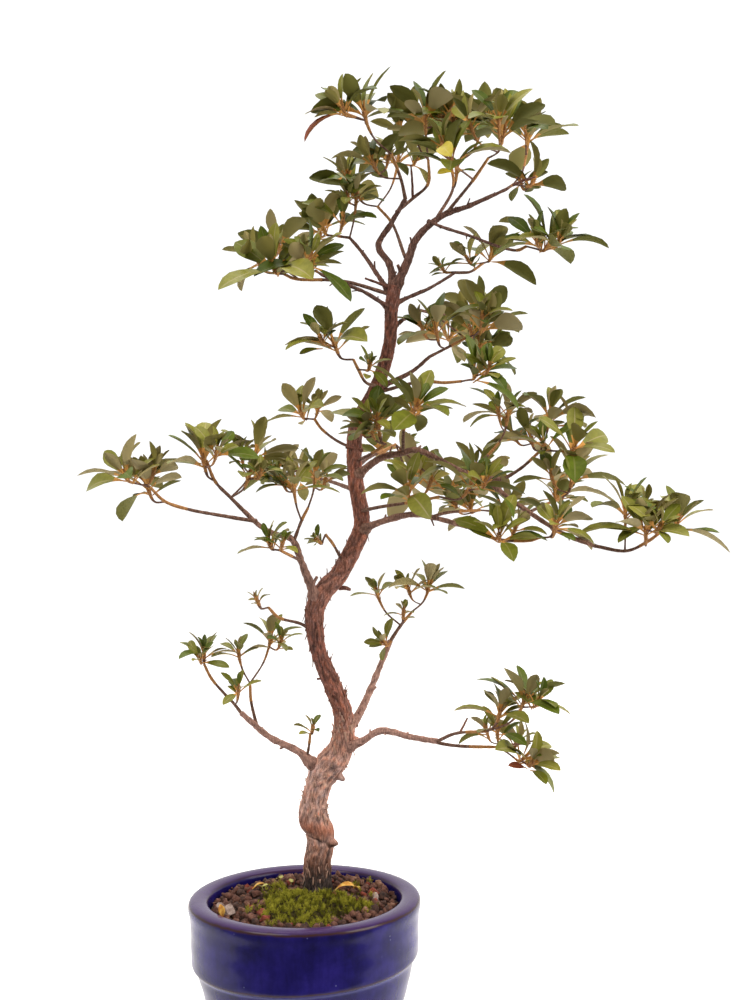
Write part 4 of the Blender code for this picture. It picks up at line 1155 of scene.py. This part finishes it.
for key, (first, points, shoots) in MASSES.items():
    stem = smooth(points, taper(points, first, 0.8), 1.6)
    grow(stem, int(len(stem) * 0.62), 9, 1.15)
    stem = smooth(points, taper(points, first, 0.9), 16.0)
    low, high = (Vector(corner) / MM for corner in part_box("foliage_" + key))
    high_up = max(0.0, min(1.0, (points[0][2] - 320) / 240))  # the crown's top gets more deep green leaves and the lower masses more soft ones: painted shade and light
    tones = [0.3 + 4.0 * high_up, 2.6, 1.6 + 1.4 * high_up, 4.6 - 3.8 * high_up, 1.8 - 1.2 * high_up]
    for number, (x, y, z, length, bearing) in enumerate(shoots):
        rows, lean, target = shoot(stem, Vector((x, y, z)), length)
        fine = finer(rows, 0.8)
        green = int(len(fine) * 0.55)
        grow(fine, green, 8)
        name, count = f"foliage_{key}{number}", 7 - (length < 24) - (length < 16)
        tuft(name, rows[2][0], target, lean, length, bearing, count, tones)
        for extra in range((length >= 22) + (length > 36)):
            turn = dice.uniform(0, 2 * math.pi)
            away = Vector((0.8 * math.cos(turn), math.sin(turn), dice.uniform(0.2, 0.55))).normalized()
            small = length * dice.uniform(0.62, 0.8)
            spot = target + away * length * dice.uniform(0.45, 0.68)
            spot = Vector([min(max(s, a + small * 0.6), b - small * 0.6) for s, a, b in zip(spot, low, high)])
            if any((centre - spot).length < 2 for centre, _ in fine[:green]):
                continue
            rows, lean_out, end = shoot(fine, spot, small)
            twig = finer(rows, 0.75)
            grow(twig, int(len(twig) * 0.4), 7)
            tuft(f"{name}{extra}", rows[2][0], end, lean_out, small, 360 * dice.random(), 5, tones)

for x, z, number, turned_to in TURNING:
    leaves.sort(key=lambda grown: math.hypot(grown[1].x - x, grown[1].z - z) + max(0.0, grown[1].y))
    for grown in leaves[:number]:
        grown[0] = turned_to
foot_hair, _, _ = finish("golden leaf foot", srgb(198, 144, 70), 0.85)
for name, (top_colour, under_colour) in LEAF_TONES.items():
    top, tree, shader = finish(name + ", upper side", top_colour, 0.42)
    shader.inputs["Specular IOR Level"].default_value = 0.16
    mottle = ramp(tree, clouds(tree, place(tree), 4.0, 3.0, 0.6), (0.3, 0.2), (0.7, 0.8))
    tree.links.new(mix(tree, 0.35, top_colour, mottle, "SOFT_LIGHT"), shader.inputs["Base Color"])
    under, _, shader = finish(name + ", underside", under_colour, 0.7)
    shader.inputs["Specular IOR Level"].default_value = 0.15
    rib, _, _ = finish(name + ", rib", tuple(blend(top_colour, under_colour, 0.5)), 0.6)
    piece = joined(name, [part for tone, _, part in leaves if tone == name], top, under, foot_hair, rib)
    shade(piece, 55)
    settle(piece, name, "foliage")

browns = (0.3, 70, 44, 34), (0.5, 108, 76, 60), (0.75, 160, 126, 110)
golds = (0.3, 136, 88, 50), (0.5, 176, 124, 72), (0.75, 208, 160, 104)
wood = mottled("twig bark", 0.85, 1.6, 4.0, 0.65, *browns, depth=0.15)
young = mottled("golden young wood", 0.85, 1.0, 4.0, 0.65, *golds)
hair, _, shader = finish("golden hairs", srgb(182, 134, 74), 0.8)
shader.inputs["Sheen Weight"].default_value = 0.4
scale, _, _ = finish("bud scales", srgb(150, 104, 50), 0.7)
masses = ["foliage_" + key for key in MASSES]
for name, parts, look, nodes in (
    ("twigs", twigs, wood, masses),
    ("young wood", young_wood, young, []),
    ("leaf-base hairs", hairs, hair, []),
    ("buds", buds, scale, []),
):
    piece = joined(name, parts, look)
    shade(piece, 60)
    settle(piece, name, "foliage", *nodes)

# ------------------------------------------------- fallen leaves and seedlings
# A few shed leaves lie on the grit, yellow or dried and curled, and three seedlings have come up
# behind the moss, each a pair of round seed leaves on a pale stem.
SHED = [  # foot, heading, way it faces, length, width, bow
    ((-50, -30, 92.5), (-0.12, -0.1, 1), (0.4, -1, 0), 10, 4.6, 0.6),
    ((19, 6, 98.4), (1, 0.25, 0.16), (0, -0.4, 1), 14, 3.6, 1.7),
    ((31, 15, 95.5), (0.4, -0.6, 0.25), (0, 0.2, 1), 9, 3.2, 1.9),
    ((-36, 22, 95.5), (0.8, 0.4, 0.15), (0, 0, 1), 10, 3.2, 1.4),
]  # fmt: skip


def lying_leaf(foot, heading, facing, *sizes):
    """A leaf by its foot, its heading and the way it faces, made square to each other."""
    heading, facing = Vector(heading).normalized(), Vector(facing)
    facing = (facing - heading * facing.dot(heading)).normalized()
    return leaf(dice, Vector(foot), heading, facing, *sizes)


shed_parts = [lying_leaf(*row, 0.6, 1.5) for row in SHED]
yellows = (0.35, 190, 126, 52), (0.5, 220, 170, 74), (0.7, 226, 198, 118)
shed_look = mottled("shed leaf", 0.75, 3.0, 3.0, 0.55, *yellows)
settle(joined("fallen leaves", shed_parts, *[shed_look] * 4), "fallen leaves", "foliage")
SEEDLINGS = [  # foot and head of each stem
    ((-17, 27, 94), (-18, 26, 101)), ((-12, 24, 94), (-10, 23, 99.5)), ((-28, 18, 93.5), (-29, 16, 99)),
]  # fmt: skip
seed_leaves, seed_stems = [], []
for foot, head in SEEDLINGS:
    foot, head = Vector(foot), Vector(head)
    middle = foot.lerp(head, 0.5) + Vector((0.4, 0, 0))
    seed_stems.append(stalk([(foot, 0.35), (middle, 0.32), (head, 0.3)], 6))
    turn = dice.uniform(0, math.pi)
    for side in (1, -1):
        heading = Vector((side * math.cos(turn), side * math.sin(turn), 0.35)).normalized()
        seed_leaves.append(lying_leaf(head - heading * 0.2, heading, (0, 0, 1), 4.4, 3.4, 0.5, 0.2, 1.1))
seed_look, _, _ = finish("seedling", srgb(172, 168, 92), 0.7)
settle(joined("seedlings", seed_leaves + seed_stems, *[seed_look] * 4), "seedlings", "foliage")

# ---------------------------------------------------- floor, light and camera
# A seamless pale table, a bright tent of soft light round it, and one large soft lamp above the
# camera's left. The camera looks level at the middle of the tree.
WHITE = (1.0, 1.0, 1.0, 1.0)
bpy.ops.mesh.primitive_plane_add(size=8, location=(0, 3.87, 0))
table = bpy.context.object
table.name = "pale table"
paper, tree, shader = finish("white paper", srgb(250, 249, 248), 1.0)
shader.inputs["Specular IOR Level"].default_value = 0.0
shader.inputs["Emission Color"].default_value = WHITE
shader.inputs["Emission Strength"].default_value = 0.4
tone = ramp(tree, clouds(tree, place(tree), 400, 2.0), (0.3, 249, 248, 247), (0.7, 252, 251, 250))
tree.links.new(tone, shader.inputs["Base Color"])
table.data.materials.append(paper)
table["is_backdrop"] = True

world = bpy.data.worlds.new("light tent")
bpy.context.scene.world = world
world.use_nodes = True
tree = world.node_tree
heading = node(tree, "SeparateXYZ", {"Vector": node(tree, "TexCoord").outputs["Generated"]})
depth = node(tree, "MapRange", {"Value": heading.outputs["Y"], "From Min": -1.0, "From Max": 1.0})
tent = ramp(tree, depth.outputs["Result"], (0.08, 0.2), (0.5, 0.6), (0.8, 1.0))
seen = node(tree, "LightPath").outputs["Is Camera Ray"]
tree.links.new(mix(tree, seen, tent, WHITE), tree.nodes["Background"].inputs["Color"])
tree.nodes["Background"].inputs["Strength"].default_value = 1.15
LAMPS = [
    ("soft_key", (-0.9, -1.0, 1.7), 1.2, 24.0),
    ("soft_fill", (1.3, -0.6, 1.0), 1.0, 20.0),
    ("top_light", (0.0, 0.5, 2.0), 1.6, 16.0),
]
for name, at, size, watts in LAMPS:
    bpy.ops.object.light_add(type="AREA", location=at)
    lamp = bpy.context.object
    lamp.name = name
    lamp.data.shape = "DISK"
    lamp.data.size = size
    lamp.data.energy = watts
    lamp.data.color = (1.0, 0.93, 0.86)
    lamp.rotation_euler = (Vector((0.04, 0, 0.3)) - Vector(at)).to_track_quat("-Z", "Y").to_euler()

bpy.context.scene.view_settings.view_transform = "Standard"
bpy.ops.object.camera_add(
    location=(0.0474, -0.853, 0.3535), rotation=(math.radians(90), math.radians(0.7), 0)
)
camera = bpy.context.object
camera.name = "camera"
camera.data.sensor_width = 36
camera.data.lens = 47.376
bpy.context.scene.camera = camera

low, high = cad_box
now_low, now_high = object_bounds()
{"cad": [list(low), list(high)], "scene": [list(now_low), list(now_high)]}
